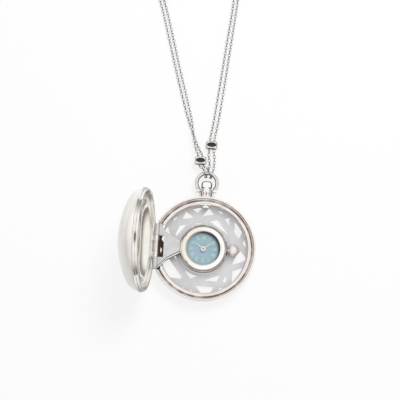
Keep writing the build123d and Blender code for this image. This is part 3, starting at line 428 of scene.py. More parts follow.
class Look:
    # a finish, or the world, under construction
    def __init__(self, owner):
        self.owner = owner
        owner.use_nodes = True
        self.tree = owner.node_tree
        self.tree.nodes.clear()

    def node(self, kind, settings=None, values=None, out=0):
        # a new node with its settings, what goes into its inputs, and which output comes back
        made = self.tree.nodes.new("ShaderNode" + kind)
        for key, value in (settings or {}).items():
            setattr(made, key, value)
        for key, value in (values or {}).items():
            if isinstance(value, Wire):
                self.tree.links.new(value.socket, made.inputs[key])
            else:
                made.inputs[key].default_value = value
        return Wire(self, made.outputs[out]) if made.outputs else None

    def place(self, scale=(1.0, 1.0, 1.0)):
        # Object coordinates in millimetres, stretched by a scale
        where = self.node("TexCoord", out="Object")
        return self.node("Mapping", values={"Vector": where, "Scale": [value / mm for value in scale]})

    def noise(self, scale, detail, stretch=(1.0, 1.0, 1.0), rough=0.5):
        values = {"Vector": self.place(stretch), "Scale": scale, "Detail": detail, "Roughness": rough}
        return self.node("TexNoise", values=values)

    def axes(self, vector):
        return [self.node("SeparateXYZ", values={"Vector": vector}, out=axis) for axis in range(3)]

    def blend(self, share, first, second):
        # a Mix node's sockets go by number: 0 is its factor, 6 and 7 its colours, and 2 its colour out
        first, second = [(*c, 1.0) if isinstance(c, tuple) else c for c in (first, second)]
        return self.node("Mix", {"data_type": "RGBA"}, {0: share, 6: first, 7: second}, out=2)

    def walled(self, colour, wall, ends):
        # the colour where the surface lies flat, and the wall's colour, a painted dark reflection, where it
        # stands upright
        level = abs(self.axes(self.node("TexCoord", out="Normal"))[2])
        return self.blend(level.ramp(*ends), wall, colour)

    def bump(self, height, depth):
        return self.node("Bump", values={"Height": height, "Distance": depth * mm, "Strength": 1.0})

    def surface(self, **values):
        # the end of a finish: the shader's inputs by their names, with _ for a space
        named = {key: (*v, 1.0) if isinstance(v, tuple) and len(v) == 3 else v for key, v in values.items()}
        sockets = {key.replace("_", " "): value for key, value in named.items()}
        shader = self.node("BsdfPrincipled", values=sockets)
        self.node("OutputMaterial", values={"Surface": shader})
        return self.owner


def newLook(name):
    return Look(bpy.data.materials.new(name))


def placed(name):
    # a new look, and its x, y and z in millimetres
    look = newLook(name)
    return look, look.axes(look.place())


def distance(x, y):
    # from zero, on the plane of the two
    return (x * x + y * y) ** 0.5


# In these dictionaries a noise is its scale, its detail and, where it has one, its stretch along x, y and z.
# Ends are where a ramp starts and is full, a share is how far a colour goes, a depth is that of a bump,
# and wear is what a full noise, or a rib, adds to the roughness. A wall colour is a painted dark reflection
# put on upright faces.

polish = dict(
    drift=(0.22, 2.0),
    driftEnds=(0.35, 0.68),
    hair=(1.0, 4.0, (1.5, 42.0, 9.0)),
    hairEnds=(0.55, 0.8),
    haze=(2.1, 3.0),
    hazeEnds=(0.4, 0.75),
    wear=0.05,
    wave=(0.6, 1.0),
    hairRise=0.01,
    depth=0.03,
    wall=(0.30, 0.265, 0.245),
    wallEnds=(0.05, 0.5),
)


def polished(name, tint, warm, rough, waviness):
    # rhodium plate: a slow colour drift, roughness that wanders, hairlines, and a painted dark reflection on
    # upright walls
    look = newLook(name)
    drift, hair, haze, wave = [look.noise(*polish[key]) for key in ("drift", "hair", "haze", "wave")]
    colour = look.blend(drift.ramp(*polish["driftEnds"]), tint, warm)
    colour = look.walled(colour, polish["wall"], polish["wallEnds"])
    wear = haze.ramp(*polish["hazeEnds"]) + hair.ramp(*polish["hairEnds"])
    normal = look.bump(wave * waviness + hair * polish["hairRise"], polish["depth"])
    roughness = rough + wear * polish["wear"]
    return look.surface(Base_Color=colour, Metallic=1.0, Roughness=roughness, Normal=normal)


plate = dict(
    drift=(0.3, 2.0),
    driftEnds=(0.35, 0.68),
    hair=(1.3, 4.0, (6.0, 20.0, 6.0)),
    hairEnds=(0.5, 0.8),
    wear=0.06,
    wave=(0.7, 1.0),
    hairRise=0.02,
    depth=0.01,
    wall=(0.26, 0.225, 0.205),
    wallEnds=(0.05, 0.55),
    dark=(0.10, 0.085, 0.078),
    rough=0.12,
)


def marked(name, tint, warm, mark, dark=plate["dark"], rough=plate["rough"], metal=1.0):
    # rhodium plate with a dark colour painted where the mark says, and a painted dark reflection on its
    # upright walls
    look = newLook(name)
    drift, hair, wave = [look.noise(*plate[key]) for key in ("drift", "hair", "wave")]
    colour = look.blend(drift.ramp(*plate["driftEnds"]), tint, warm)
    colour = look.walled(colour, plate["wall"], plate["wallEnds"])
    colour = look.blend(mark(*look.axes(look.place())), colour, dark)
    roughness = rough + hair.ramp(*plate["hairEnds"]) * plate["wear"]
    normal = look.bump(wave + hair * plate["hairRise"], plate["depth"])
    return look.surface(Base_Color=colour, Metallic=metal, Roughness=roughness, Normal=normal)


button = dict(
    half=2.05,
    archStart=24.8,  # where its round end starts
    archReach=1.35,
    corner=3,  # power of the outline's rounding
    # the dark line and the dark at the edge are a painted reflection round the button's face
    lineEnds=(0.72, 0.8),  # the dark line, as shares of the outline
    edgeEnds=(0.97, 1.03),
    edgeShare=0.6,  # how much of the dark goes at the very edge
)


def archReflectionMark(x, y, z):
    # painted reflection: the dark outline of the button's face, all round but at its foot
    above = y.maths("MAXIMUM", y - button["archStart"], 0.0) / button["archReach"]
    power = button["corner"]
    reach = ((abs(x) / button["half"]) ** power + above**power) ** (1 / power)
    return reach.ramp(*button["lineEnds"]) * (1 - reach.ramp(*button["edgeEnds"]) * button["edgeShare"])


bow = dict(
    # the dark of its inner side and the line along its top are a painted reflection
    insideEnds=(3.45, 3.7),  # radii where the dark of its inner side fades
    line=4.02,
    lineEnds=(0.06, 0.2),
    lineShare=0.45,
)


def bowReflectionMark(x, y, z):
    # painted reflection: dark on the inner side of the bow's ring, and a fainter painted line along its top
    radius = distance(x, y - chain["bowCentre"])
    line = (radius - bow["line"]).near(*bow["lineEnds"])
    return 1 - radius.ramp(*bow["insideEnds"]) + line * bow["lineShare"]


collar = dict(
    fluteEnds=(2.62, 2.74),  # radii of a flute's floor and crest
    footEnds=(20.2, 20.3),
    topEnds=(21.78, 21.83),
)


def fluteShadeMark(x, y, z):
    # painted shade in the floors of the collar's flutes
    radius = distance(x, z - chain["bowHeight"])
    long = y.ramp(*collar["footEnds"]) * (1 - y.ramp(*collar["topEnds"]))
    return (1 - radius.ramp(*collar["fluteEnds"])) * long


crown = dict(rootEnds=(9.75, 10.0))


def rootShadeMark(x, y, z):
    # painted shade at the crown's root, beside the case
    return 1 - x.ramp(*crown["rootEnds"])


rim = dict(
    heightEnds=(38.6, 39.6),
    middle=-1.45,  # of the mark, along the hinge
    alongEnds=(0.6, 2.6),
    line=-24.1,  # of the mark, across the rim
    acrossEnds=(0.0, 0.75),
)


def rimMark(x, y, z):
    # a dark reflection on the far end of the open cover's rim
    along = (y - rim["middle"]).near(*rim["alongEnds"])
    return z.ramp(*rim["heightEnds"]) * along * (x - rim["line"]).near(*rim["acrossEnds"])


handCap = dict(postEnds=(0.30, 0.46))


def capMark(x, y, z):
    # the end of the post in the middle of the hands' cap
    return 1 - distance(x, y).ramp(*handCap["postEnds"])


beadWindow = dict(halfWidth=1.95, halfHeight=1.05, ends=(0.75, 0.95))


def beadMark(place):
    # a dark oval on the bead's window
    def mark(x, y, z):
        across = (x - place[0]) / beadWindow["halfWidth"]
        up = (y - place[1]) / beadWindow["halfHeight"]
        return 1 - (across * across + up * up).ramp(*beadWindow["ends"])

    return mark


ring = dict(
    bead=(0.97, 0.935, 0.915),
    beadShade=(0.86, 0.80, 0.77),
    patch=(0.16, 2.0),
    patchEnds=(0.4, 0.62),
    wall=(0.46, 0.40, 0.37),
    wallEnds=(0.05, 0.55),
    # the groove's dark brown is partly patina, partly painted shade
    grooveStainAndShade=(0.19, 0.135, 0.11),
    grooveEnds=(17.95, 18.2),  # radii where its dark starts and is full
    lipEnds=(18.75, 18.98),  # radii where it ends and is gone
    stain=(0.3, 2.0),
    stainEnds=(0.3, 0.6),
    grooveShare=0.62,  # of the dark where the stain is least
    knuckleEnds=(-17.6, -17.2),  # where the hinge's knuckle gives way to the cut in the ring
    hingeHalfEnds=(4.3, 4.7),
    # painted shade inside the cut at the hinge
    hingeShade=(0.12, 0.065, 0.045),  # inside that cut
    hingeShadeEnds=(-16.4, -15.6),
    hingeShadeTopEnds=(3.5, 3.9),
    edge=(0.93, 0.90, 0.88),  # its outer bead
    edgeEnds=(19.0, 19.25),
    edgeShare=0.8,
    edgeMetal=0.45,
    hair=(1.2, 4.0, (9.0, 9.0, 2.0)),
    hairEnds=(0.5, 0.8),
    wave=(0.5, 1.0),
    waviness=0.5,
    hairRise=0.02,
    depth=0.03,
    rough=0.10,
    wear=0.08,
    grooveRough=0.16,
)


def ringSteel(name):
    # polished ring whose groove is dark brown, partly patina and partly painted shade, with painted shade
    # darker still in the cut under the hinge
    look, (x, y, z) = placed(name)
    radius = distance(x, y)
    patch, hair, stain, wave = [look.noise(*ring[key]) for key in ("patch", "hair", "stain", "wave")]
    colour = look.blend(patch.ramp(*ring["patchEnds"]), ring["bead"], ring["beadShade"])
    colour = look.walled(colour, ring["wall"], ring["wallEnds"])
    atHinge = y.near(*ring["hingeHalfEnds"])
    pastKnuckle = x.ramp(*ring["knuckleEnds"])
    grooveStainAndShade = radius.ramp(*ring["grooveEnds"]) * (1 - radius.ramp(*ring["lipEnds"]))
    grooveStainAndShade = grooveStainAndShade * (ring["grooveShare"] + stain.ramp(*ring["stainEnds"]) * (1 - ring["grooveShare"]))
    grooveStainAndShade = grooveStainAndShade * (1 - (1 - pastKnuckle) * atHinge)
    colour = look.blend(grooveStainAndShade, colour, ring["grooveStainAndShade"])
    hingeShade = pastKnuckle * (1 - x.ramp(*ring["hingeShadeEnds"])) * (1 - z.ramp(*ring["hingeShadeTopEnds"]))
    colour = look.blend(hingeShade * atHinge, colour, ring["hingeShade"])
    outer = radius.ramp(*ring["edgeEnds"])
    colour = look.blend(outer * ring["edgeShare"], colour, ring["edge"])
    metallic = 1 - outer * (1 - ring["edgeMetal"])
    roughness = ring["rough"] + hair.ramp(*ring["hairEnds"]) * ring["wear"] + grooveStainAndShade * ring["grooveRough"]
    normal = look.bump(wave * ring["waviness"] + hair * ring["hairRise"], ring["depth"])
    return look.surface(Base_Color=colour, Metallic=metallic, Roughness=roughness, Normal=normal)


brush = dict(
    cloud=(0.35, 3.0),
    cloudEnds=(0.3, 0.7),
    fine=(1.3, 4.0, (2.0, 30.0, 2.0)),
    fineEnds=(0.3, 0.8),
    fineShare=0.16,
    fineTint=(0.5, 0.5, 0.52),
    wall=(0.42, 0.40, 0.39),
    wallEnds=(0.05, 0.6),
    fineRough=0.12,
    cloudRoughEnds=(0.4, 0.7),
    cloudRough=0.06,
    depth=0.006,
)


def satin(name, tint, pale, metal, rough):
    # brushed plate: fine grain one way, cloudy brightness, and a painted dark reflection on upright walls
    look = newLook(name)
    cloud, fine = look.noise(*brush["cloud"]), look.noise(*brush["fine"])
    colour = look.blend(cloud.ramp(*brush["cloudEnds"]), tint, pale)
    colour = look.blend(fine.ramp(*brush["fineEnds"]) * brush["fineShare"], colour, brush["fineTint"])
    colour = look.walled(colour, brush["wall"], brush["wallEnds"])
    roughness = rough + fine * brush["fineRough"] + cloud.ramp(*brush["cloudRoughEnds"]) * brush["cloudRough"]
    normal = look.bump(fine, brush["depth"])
    return look.surface(Base_Color=colour, Metallic=metal, Roughness=roughness, Normal=normal)


links = dict(
    tint=(0.92, 0.90, 0.88),
    warm=(0.78, 0.75, 0.72),
    drift=(0.5, 2.0),
    driftEnds=(0.35, 0.68),
    # painted shade on the links that stand on edge
    onEdgeShade=(0.14, 0.12, 0.11),
    onEdgeShadeShare=0.72,
    wall=(0.05, 0.042, 0.038),
    wallEnds=(0.1, 0.85),
    rough=0.14,
    wear=0.08,
)


def chainSteel(name):
    # small links: a painted dark reflection where their wire stands upright, and painted shade on top of the
    # links that stand on edge
    look = newLook(name)
    drift = look.noise(*links["drift"])
    colour = look.blend(drift.ramp(*links["driftEnds"]), links["tint"], links["warm"])
    turned = look.node("Attribute", {"attribute_name": "turned"}, out="Fac")
    colour = look.blend(turned * links["onEdgeShadeShare"], colour, links["onEdgeShade"])
    colour = look.walled(colour, links["wall"], links["wallEnds"])
    return look.surface(Base_Color=colour, Metallic=1.0, Roughness=links["rough"] + drift * links["wear"])


openwork = dict(
    face=(0.76, 0.76, 0.77),
    pale=(0.82, 0.82, 0.825),
    cloud=(0.3, 3.0),
    cloudEnds=(0.3, 0.7),
    fine=(1.4, 4.0, (14.0, 3.0, 2.0)),
    fineEnds=(0.3, 0.8),
    fineShare=0.10,
    fineTint=(0.54, 0.53, 0.55),
    wall=(0.08, 0.075, 0.07),
    wallEnds=(0.05, 0.6),
    gapEnds=(-15.2, -14.7),
    gapHalfEnds=(4.2, 4.8),
    metal=0.8,
    rough=0.40,
    fineRough=0.12,
    depth=0.005,
)


def openworkSteel(name):
    # satin plate of the back, with a painted dark reflection on its upright walls and painted brown shade in
    # the hinge's gap
    look, (x, y, _) = placed(name)
    cloud, fine = look.noise(*openwork["cloud"]), look.noise(*openwork["fine"])
    colour = look.blend(cloud.ramp(*openwork["cloudEnds"]), openwork["face"], openwork["pale"])
    grain = fine.ramp(*openwork["fineEnds"]) * openwork["fineShare"]
    colour = look.blend(grain, colour, openwork["fineTint"])
    colour = look.walled(colour, openwork["wall"], openwork["wallEnds"])
    gap = (1 - x.ramp(*openwork["gapEnds"])) * y.near(*openwork["gapHalfEnds"])
    colour = look.blend(gap, colour, ring["hingeShade"])
    roughness = openwork["rough"] + fine * openwork["fineRough"]
    normal = look.bump(fine, openwork["depth"])
    return look.surface(Base_Color=colour, Metallic=openwork["metal"], Roughness=roughness, Normal=normal)


bridge = dict(
    face=(0.70, 0.70, 0.71),
    pale=(0.78, 0.78, 0.785),
    wall=(0.05, 0.042, 0.038),
    wallEnds=(0.05, 0.6),
    # painted highlight on the bevel
    bevel=(0.98, 0.97, 0.96),
    outline=((-17.0, 8.6), (-13.4, 5.0), (-9.3, 2.75)),  # x and half width at its root, waist and end
    # the dark lines are painted shade along the bridge's lower edge
    line=0.28,  # width of the dark lines
    bevelWidth=1.0,
    soft=0.1,  # how far each border fades
    lineShares=(0.4, 0.8),  # of the line's width, where the inner line starts to fade and is gone
    metal=0.75,
    rough=0.36,
)


def bridgeSteel(name):
    # satin bridge: towards 6 o'clock a painted highlight on a bevel between two dark lines of painted shade
    look, (x, y, _) = placed(name)
    (rootX, root), (waistX, waist), (endX, end) = bridge["outline"]
    near = (waistX - x) * ((root - waist) / (waistX - rootX)) + waist
    far = (endX - x) * ((waist - end) / (endX - waistX)) + end
    line, bevel, soft = bridge["line"], bridge["bevelWidth"], bridge["soft"]
    inside = y + near + (far - near) * x.ramp(waistX - soft, waistX + soft)
    cloud, fine = look.noise(*brush["cloud"]), look.noise(*brush["fine"])
    colour = look.blend(cloud.ramp(*brush["cloudEnds"]), bridge["face"], bridge["pale"])
    colour = look.walled(colour, bridge["wall"], bridge["wallEnds"])
    # painted highlight on the bevel, then painted shade in the two dark lines
    colour = look.blend(1 - inside.ramp(bevel - soft, bevel + soft), colour, bridge["bevel"])
    innerLine = (inside - bevel).near(*[line * share for share in bridge["lineShares"]])
    colour = look.blend(1 - inside.ramp(line, line + soft) + innerLine, colour, bridge["wall"])
    roughness = bridge["rough"] + fine * brush["fineRough"]
    normal = look.bump(fine, brush["depth"])
    return look.surface(Base_Color=colour, Metallic=bridge["metal"], Roughness=roughness, Normal=normal)


bezel = dict(
    # painted reflection: a warm cream shade on one side, near white on the lit side
    creamy=(0.88, 0.82, 0.75),
    bright=(1.0, 0.995, 0.985),
    toLitSide=(0.9, -0.3),  # direction from the creamy side to the bright one
    litSideEnds=(-8.5, 3.0),
    cream=(0.93, 0.90, 0.80),
    cloud=(0.35, 3.0),
    cloudEnds=(0.42, 0.6),
    cloudShare=0.6,
    # painted shade in thin dark lines at the foot and at the inner edge
    foot=(0.22, 0.19, 0.17),
    footEnds=(9.12, 9.24),  # radii
    footShadeShare=0.85,
    inner=(0.36, 0.28, 0.24),
    innerEnds=(6.6, 6.95),
    innerShare=0.75,
    litSideLoss=0.5,  # what both dark edges lose of their share on the bright side
    hair=(1.2, 4.0, (5.0, 5.0, 20.0)),
    hairEnds=(0.5, 0.8),
    rough=0.08,
    wear=0.07,
    wave=(0.5, 1.0),
    depth=0.02,
)


def bezelSteel(name):
    # bezel with a painted reflection: near white on the lit side towards 3 o'clock, a painted warm cream
    # shade towards 9, and painted shade in a thin dark line at its foot and its inner edge, fainter on the
    # lit side
    look, (x, y, _) = placed(name)
    radius = distance(x, y)
    alongX, alongY = bezel["toLitSide"]
    bright = (x * alongX + y * alongY).ramp(*bezel["litSideEnds"])
    colour = look.blend(bright, bezel["creamy"], bezel["bright"])
    cloud = look.noise(*bezel["cloud"]).ramp(*bezel["cloudEnds"]) * (1 - bright)
    colour = look.blend(cloud * bezel["cloudShare"], colour, bezel["cream"])
    foot = radius.ramp(*bezel["footEnds"]) * (bezel["footShadeShare"] - bright * bezel["litSideLoss"])
    colour = look.blend(foot, colour, bezel["foot"])
    inner = (1 - radius.ramp(*bezel["innerEnds"])) * (bezel["innerShare"] - bright * bezel["litSideLoss"])
    colour = look.blend(inner, colour, bezel["inner"])
    roughness = bezel["rough"] + look.noise(*bezel["hair"]).ramp(*bezel["hairEnds"]) * bezel["wear"]
    normal = look.bump(look.noise(*bezel["wave"]), bezel["depth"])
    return look.surface(Base_Color=colour, Metallic=1.0, Roughness=roughness, Normal=normal)


numeralTint = dict(
    faded=(0.62, 0.74, 0.73),
    clear=(0.78, 0.83, 0.79),
    fade=(1.1, 2.0),
    fadeEnds=(0.3, 0.7),
    metal=0.2,
    rough=0.35,
    wear=0.1,
)


def numeralPrint(name):
    # pale bars that fade here and there
    look = newLook(name)
    fade = look.noise(*numeralTint["fade"])
    colour = look.blend(fade.ramp(*numeralTint["fadeEnds"]), numeralTint["faded"], numeralTint["clear"])
    roughness = numeralTint["rough"] + fade * numeralTint["wear"]
    return look.surface(Base_Color=colour, Metallic=numeralTint["metal"], Roughness=roughness)


dome = dict(
    hinge=(-18.05, 5.0),  # x and z of the hinge line
    openAngle=97.5,
    middle=(18.3, 8.12, 6.9),  # half width, rise and foot of the shell's middle surface, when closed
    shellEnds=(0.985, 1.015),  # where the shell's inside gives way to its outside
    lacquer=(0.865, 0.83, 0.77),
    lacquerPale=(0.935, 0.91, 0.86),
    cloud=(0.12, 3.0),
    creamEnds=(0.35, 0.65),
    streak=(0.8, 3.0, (1.0, 0.12, 1.0)),
    streakEnds=(0.5, 0.8),
    streakShare=0.35,
    streakTint=(0.74, 0.73, 0.70),
    metalTint=(0.96, 0.945, 0.89),
    metalShade=(0.89, 0.87, 0.82),
    metalEnds=(0.4, 0.6),
    metal=0.78,
    lacquerMetal=0.15,
    metalRough=0.12,
    lacquerRough=0.16,  # what the lacquer adds
    streakRough=0.08,
    streakRoughEnds=(0.4, 0.8),
    coat=0.35,
    wave=(0.25, 2.0),
    depth=0.05,
)


def closedPlace(look):
    # Object coordinates as they are when the cover is closed: turned back about the hinge line
    turn = radians(dome["openAngle"])
    x, z = dome["hinge"]
    shift = (x - (cos(turn) * x + sin(turn) * z), 0.0, z - (cos(turn) * z - sin(turn) * x))
    values = {"Vector": look.place(), "Rotation": (0.0, turn, 0.0), "Location": shift}
    return look.node("Mapping", values=values)


def lacquered(name):
    # cream lacquer over the dome, bare polished metal inside it
    look = newLook(name)
    x, y, z = look.axes(closedPlace(look))
    wide, rise, foot = dome["middle"]
    shell = (x * x + y * y) / wide**2 + (z - foot) * (z - foot) / rise**2
    outside = shell.ramp(*dome["shellEnds"])
    cloud, streak = look.noise(*dome["cloud"]), look.noise(*dome["streak"])
    cream = look.blend(cloud.ramp(*dome["creamEnds"]), dome["lacquer"], dome["lacquerPale"])
    cream = look.blend(streak.ramp(*dome["streakEnds"]) * dome["streakShare"], cream, dome["streakTint"])
    metal = look.blend(cloud.ramp(*dome["metalEnds"]), dome["metalTint"], dome["metalShade"])
    lacquerRough = dome["lacquerRough"] + streak.ramp(*dome["streakRoughEnds"]) * dome["streakRough"]
    return look.surface(
        Base_Color=look.blend(outside, metal, cream),
        Metallic=dome["metal"] - outside * (dome["metal"] - dome["lacquerMetal"]),
        Roughness=dome["metalRough"] + outside * lacquerRough,
        Coat_Weight=outside * dome["coat"],
        Normal=look.bump(look.noise(*dome["wave"]), dome["depth"]),
    )


cabochon = dict(
    dark=(0.035, 0.028, 0.032),
    violet=(0.14, 0.10, 0.12),
    cloud=(0.9, 4.0),
    cloudEnds=(0.35, 0.7),
    rough=0.06,
    wear=0.06,
    refraction=1.6,
)


def stone(name):
    # dark cabochon with a faint violet depth
    look = newLook(name)
    cloud = look.noise(*cabochon["cloud"])
    colour = look.blend(cloud.ramp(*cabochon["cloudEnds"]), cabochon["dark"], cabochon["violet"])
    roughness = cabochon["rough"] + cloud * cabochon["wear"]
    return look.surface(Base_Color=colour, Roughness=roughness, IOR=cabochon["refraction"])


rubberGrain = dict(noise=(6.0, 3.0), ends=(0.35, 0.75), paler=1.9, rough=0.62, wear=0.2, depth=0.01)


def rubber(name, tint):
    # matt rubber with a fine paler grain
    look = newLook(name)
    grain = look.noise(*rubberGrain["noise"])
    pale = tuple(value * rubberGrain["paler"] for value in tint)
    colour = look.blend(grain.ramp(*rubberGrain["ends"]), tint, pale)
    roughness = rubberGrain["rough"] + grain * rubberGrain["wear"]
    return look.surface(Base_Color=colour, Roughness=roughness, Normal=look.bump(grain, rubberGrain["depth"]))


crystal = dict(
    tint=(0.94, 0.97, 0.98),
    smear=(0.3, 2.0),
    smearEnds=(0.5, 0.8),
    least=0.02,  # its roughness and its alpha where it is cleanest, and what a full smear adds to each
    refraction=1.5,
)


def crystalGlass(name):
    # clear flat crystal that shows the dial without dulling it
    look = newLook(name)
    smear, least = look.noise(*crystal["smear"]), crystal["least"]
    return look.surface(
        Base_Color=crystal["tint"],
        Roughness=least + smear.ramp(*crystal["smearEnds"]) * least,
        Alpha=least + smear * least,
        IOR=crystal["refraction"],
    )


dial = dict(
    teal=(0.335, 0.53, 0.565),
    blue=(0.295, 0.47, 0.57),
    violet=(0.36, 0.45, 0.64),
    green=(0.36, 0.55, 0.545),
    swirl=(0.32, 4.0, (1.0, 1.6, 1.0), 0.6),  # the last is its roughness
    swirlEnds=(0.35, 0.66),
    fleck=(1.3, 4.0),
    fleckEnds=(0.52, 0.72),
    greenShare=0.6,
    violetPlace=(-2.6, -1.9),
    violetEnds=(0.4, 3.1),
    violetShare=0.75,
    # painted shade that darkens the dial towards its edge
    edge=(0.23, 0.37, 0.41),
    edgeEnds=(5.3, 6.3),
    edgeShare=0.8,
    toShade=(0.84, 0.54),  # direction to the upper right, where the bezel's shade lies
    shade=(0.07, 0.10, 0.11),
    shadeEnds=(2.2, 5.6),
    shadeRadii=(5.0, 5.9),
    metal=0.12,
    rough=0.22,
    wear=0.15,
    coat=0.4,
    depth=0.02,
)


def toShade(x, y):
    # how far a place lies towards the shade
    alongX, alongY = dial["toShade"]
    return x * alongX + y * alongY


def pearl(name):
    # mother of pearl: soft cells of blue and green, a violet cloud at the lower left, painted shade darker to
    # its edge, and the bezel's painted shadow at the upper right
    look, (x, y, _) = placed(name)
    radius = distance(x, y)
    swirl, fleck = look.noise(*dial["swirl"]), look.noise(*dial["fleck"])
    colour = look.blend(swirl.ramp(*dial["swirlEnds"]), dial["blue"], dial["teal"])
    colour = look.blend(fleck.ramp(*dial["fleckEnds"]) * dial["greenShare"], colour, dial["green"])
    cloudX, cloudY = dial["violetPlace"]
    violet = 1 - distance(x - cloudX, y - cloudY).ramp(*dial["violetEnds"])
    colour = look.blend(violet * dial["violetShare"], colour, dial["violet"])
    # painted shade towards the edge
    colour = look.blend(radius.ramp(*dial["edgeEnds"]) * dial["edgeShare"], colour, dial["edge"])
    shade = toShade(x, y).ramp(*dial["shadeEnds"]) * radius.ramp(*dial["shadeRadii"])
    return look.surface(
        Base_Color=look.blend(shade, colour, dial["shade"]),
        Metallic=dial["metal"],
        Roughness=dial["rough"] + swirl * dial["wear"],
        Coat_Weight=dial["coat"],
        Normal=look.bump(swirl, dial["depth"]),
    )


flange = dict(
    radius=6.45,
    pale=(0.50, 0.51, 0.52),
    shade=(0.022, 0.022, 0.025),
    shadeEnds=(-0.05, 0.55),  # shares of its radius
    fine=(2.0, 3.0),
    metal=0.2,
    rough=0.45,
    wear=0.1,
)


def rehaut(name):
    # wall between dial and crystal: pale, with the dark arc that the bezel throws on it at the upper right
    look, (x, y, _) = placed(name)
    shade = (toShade(x, y) / flange["radius"]).ramp(*flange["shadeEnds"])
    colour = look.blend(shade, flange["pale"], flange["shade"])
    roughness = flange["rough"] + look.noise(*flange["fine"]) * flange["wear"]
    return look.surface(Base_Color=colour, Metallic=flange["metal"], Roughness=roughness)


brassPlate = dict(
    tint=(0.80, 0.68, 0.42),
    darker=0.82,
    cloud=(0.5, 3.0),
    cloudEnds=(0.35, 0.7),
    fine=(2.0, 4.0, (3.0, 20.0, 3.0)),
    rough=0.24,
    wear=0.12,
    depth=0.006,
)


def brass(name):
    # brushed brass, clouded
    look = newLook(name)
    cloud, fine = look.noise(*brassPlate["cloud"]), look.noise(*brassPlate["fine"])
    dark = tuple(value * brassPlate["darker"] for value in brassPlate["tint"])
    colour = look.blend(cloud.ramp(*brassPlate["cloudEnds"]), brassPlate["tint"], dark)
    roughness = brassPlate["rough"] + fine * brassPlate["wear"]
    normal = look.bump(fine, brassPlate["depth"])
    return look.surface(Base_Color=colour, Metallic=1.0, Roughness=roughness, Normal=normal)


circuit = dict(
    mask=(0.035, 0.14, 0.06),
    track=(0.07, 0.24, 0.10),
    noise=(0.7, 0.0, (1.0, 5.0, 1.0)),
    ends=(0.53, 0.56),
    rough=0.35,
    wear=0.1,
    depth=0.02,
)


def board(name):
    # green board: solder mask with paler tracks under it
    look = newLook(name)
    noise = look.noise(*circuit["noise"])
    track = noise.ramp(*circuit["ends"])
    colour = look.blend(track, circuit["mask"], circuit["track"])
    roughness = circuit["rough"] + noise * circuit["wear"]
    return look.surface(Base_Color=colour, Roughness=roughness, Normal=look.bump(track, circuit["depth"]))


winding = dict(
    between=(0.36, 0.13, 0.05),
    wire=(0.80, 0.40, 0.20),
    pace=42.0,  # radians to the millimetre
    metal=0.9,
    rough=0.3,
    wear=0.05,
    depth=0.02,
)


def windings(name):
    # copper wire wound round the coil: ribs across its length
    look, (x, _, _) = placed(name)
    rib = x.maths("SINE", x * winding["pace"])
    colour = look.blend(rib.asShare(), winding["between"], winding["wire"])
    roughness = winding["rough"] + rib * winding["wear"]
    normal = look.bump(rib, winding["depth"])
    return look.surface(Base_Color=colour, Metallic=winding["metal"], Roughness=roughness, Normal=normal)


slotFinishes = {  # for each slot of the CAD pieces, what makes its finish, and from what
    "polished_steel": (
        polished, dict(tint=(0.96, 0.945, 0.93), warm=(0.90, 0.865, 0.835), rough=0.07, waviness=0.35)
    ),
    "hand_silver": (
        polished, dict(tint=(0.95, 0.89, 0.87), warm=(0.88, 0.82, 0.79), rough=0.2, waviness=0.1)
    ),
    "satin_steel": (satin, dict(tint=(0.74, 0.74, 0.75), pale=(0.82, 0.82, 0.83), metal=0.85, rough=0.34)),
    "spring_steel": (satin, dict(tint=(0.68, 0.68, 0.70), pale=(0.78, 0.78, 0.79), metal=1.0, rough=0.2)),
    "cell_steel": (satin, dict(tint=(0.74, 0.74, 0.74), pale=(0.84, 0.84, 0.84), metal=1.0, rough=0.22)),
    "gasket_rubber": (rubber, dict(tint=(0.045, 0.043, 0.043))),
    "grip_rubber": (rubber, dict(tint=(0.028, 0.023, 0.021))),
    "warm_steel": (ringSteel, {}),
    "cream_lacquer": (lacquered, {}),
    "dark_stone": (stone, {}),
    "mineral_glass": (crystalGlass, {}),
    "pearl_dial": (pearl, {}),
    "plated_brass": (brass, {}),
    "circuit_board": (board, {}),
    "coil_copper": (windings, {}),
    "chain_silver": (chainSteel, {}),
}
beadTints = dict(tint=(0.93, 0.92, 0.90), warm=(0.84, 0.82, 0.80))
pieceFinishes = {  # the same for pieces that differ from the rest of their slot
    "openwork_back": (openworkSteel, {}),
    "flange_ring": (rehaut, {}),
    "watch_bezel": (bezelSteel, {}),
    "case_bridge": (bridgeSteel, {}),
    "release_button": (marked, dict(mark=archReflectionMark, tint=(0.97, 0.955, 0.94), warm=(0.90, 0.88, 0.86))),
    "bow": (marked, dict(mark=bowReflectionMark, tint=(0.96, 0.945, 0.93), warm=(0.88, 0.86, 0.84))),
    "collar": (
        marked,
        dict(mark=fluteShadeMark, tint=(0.93, 0.90, 0.88), warm=(0.85, 0.81, 0.79), dark=(0.42, 0.37, 0.34)),
    ),
    "crown": (
        marked,
        dict(
            mark=rootShadeMark, tint=(0.97, 0.92, 0.90), warm=(0.92, 0.86, 0.84), dark=(0.16, 0.11, 0.10),
            rough=0.3, metal=0.45,
        ),
    ),
    "left_bead": (marked, dict(mark=beadMark(chain["leftBead"]), **beadTints)),
    "right_bead": (marked, dict(mark=beadMark(chain["rightBead"]), **beadTints)),
    "hand_cap": (
        marked,
        dict(mark=capMark, tint=(0.78, 0.71, 0.69), warm=(0.68, 0.63, 0.615), dark=(0.44, 0.42, 0.41)),
    ),
    "cover_rim": (
        marked,
        dict(mark=rimMark, tint=(0.93, 0.92, 0.905), warm=(0.84, 0.82, 0.80), rough=0.13, metal=0.82),
    ),
}


def makeLooks(finishes, ending=""):
    # a material for each name, called by that name and the ending
    return {name: make(name + ending, **values) for name, (make, values) in finishes.items()}


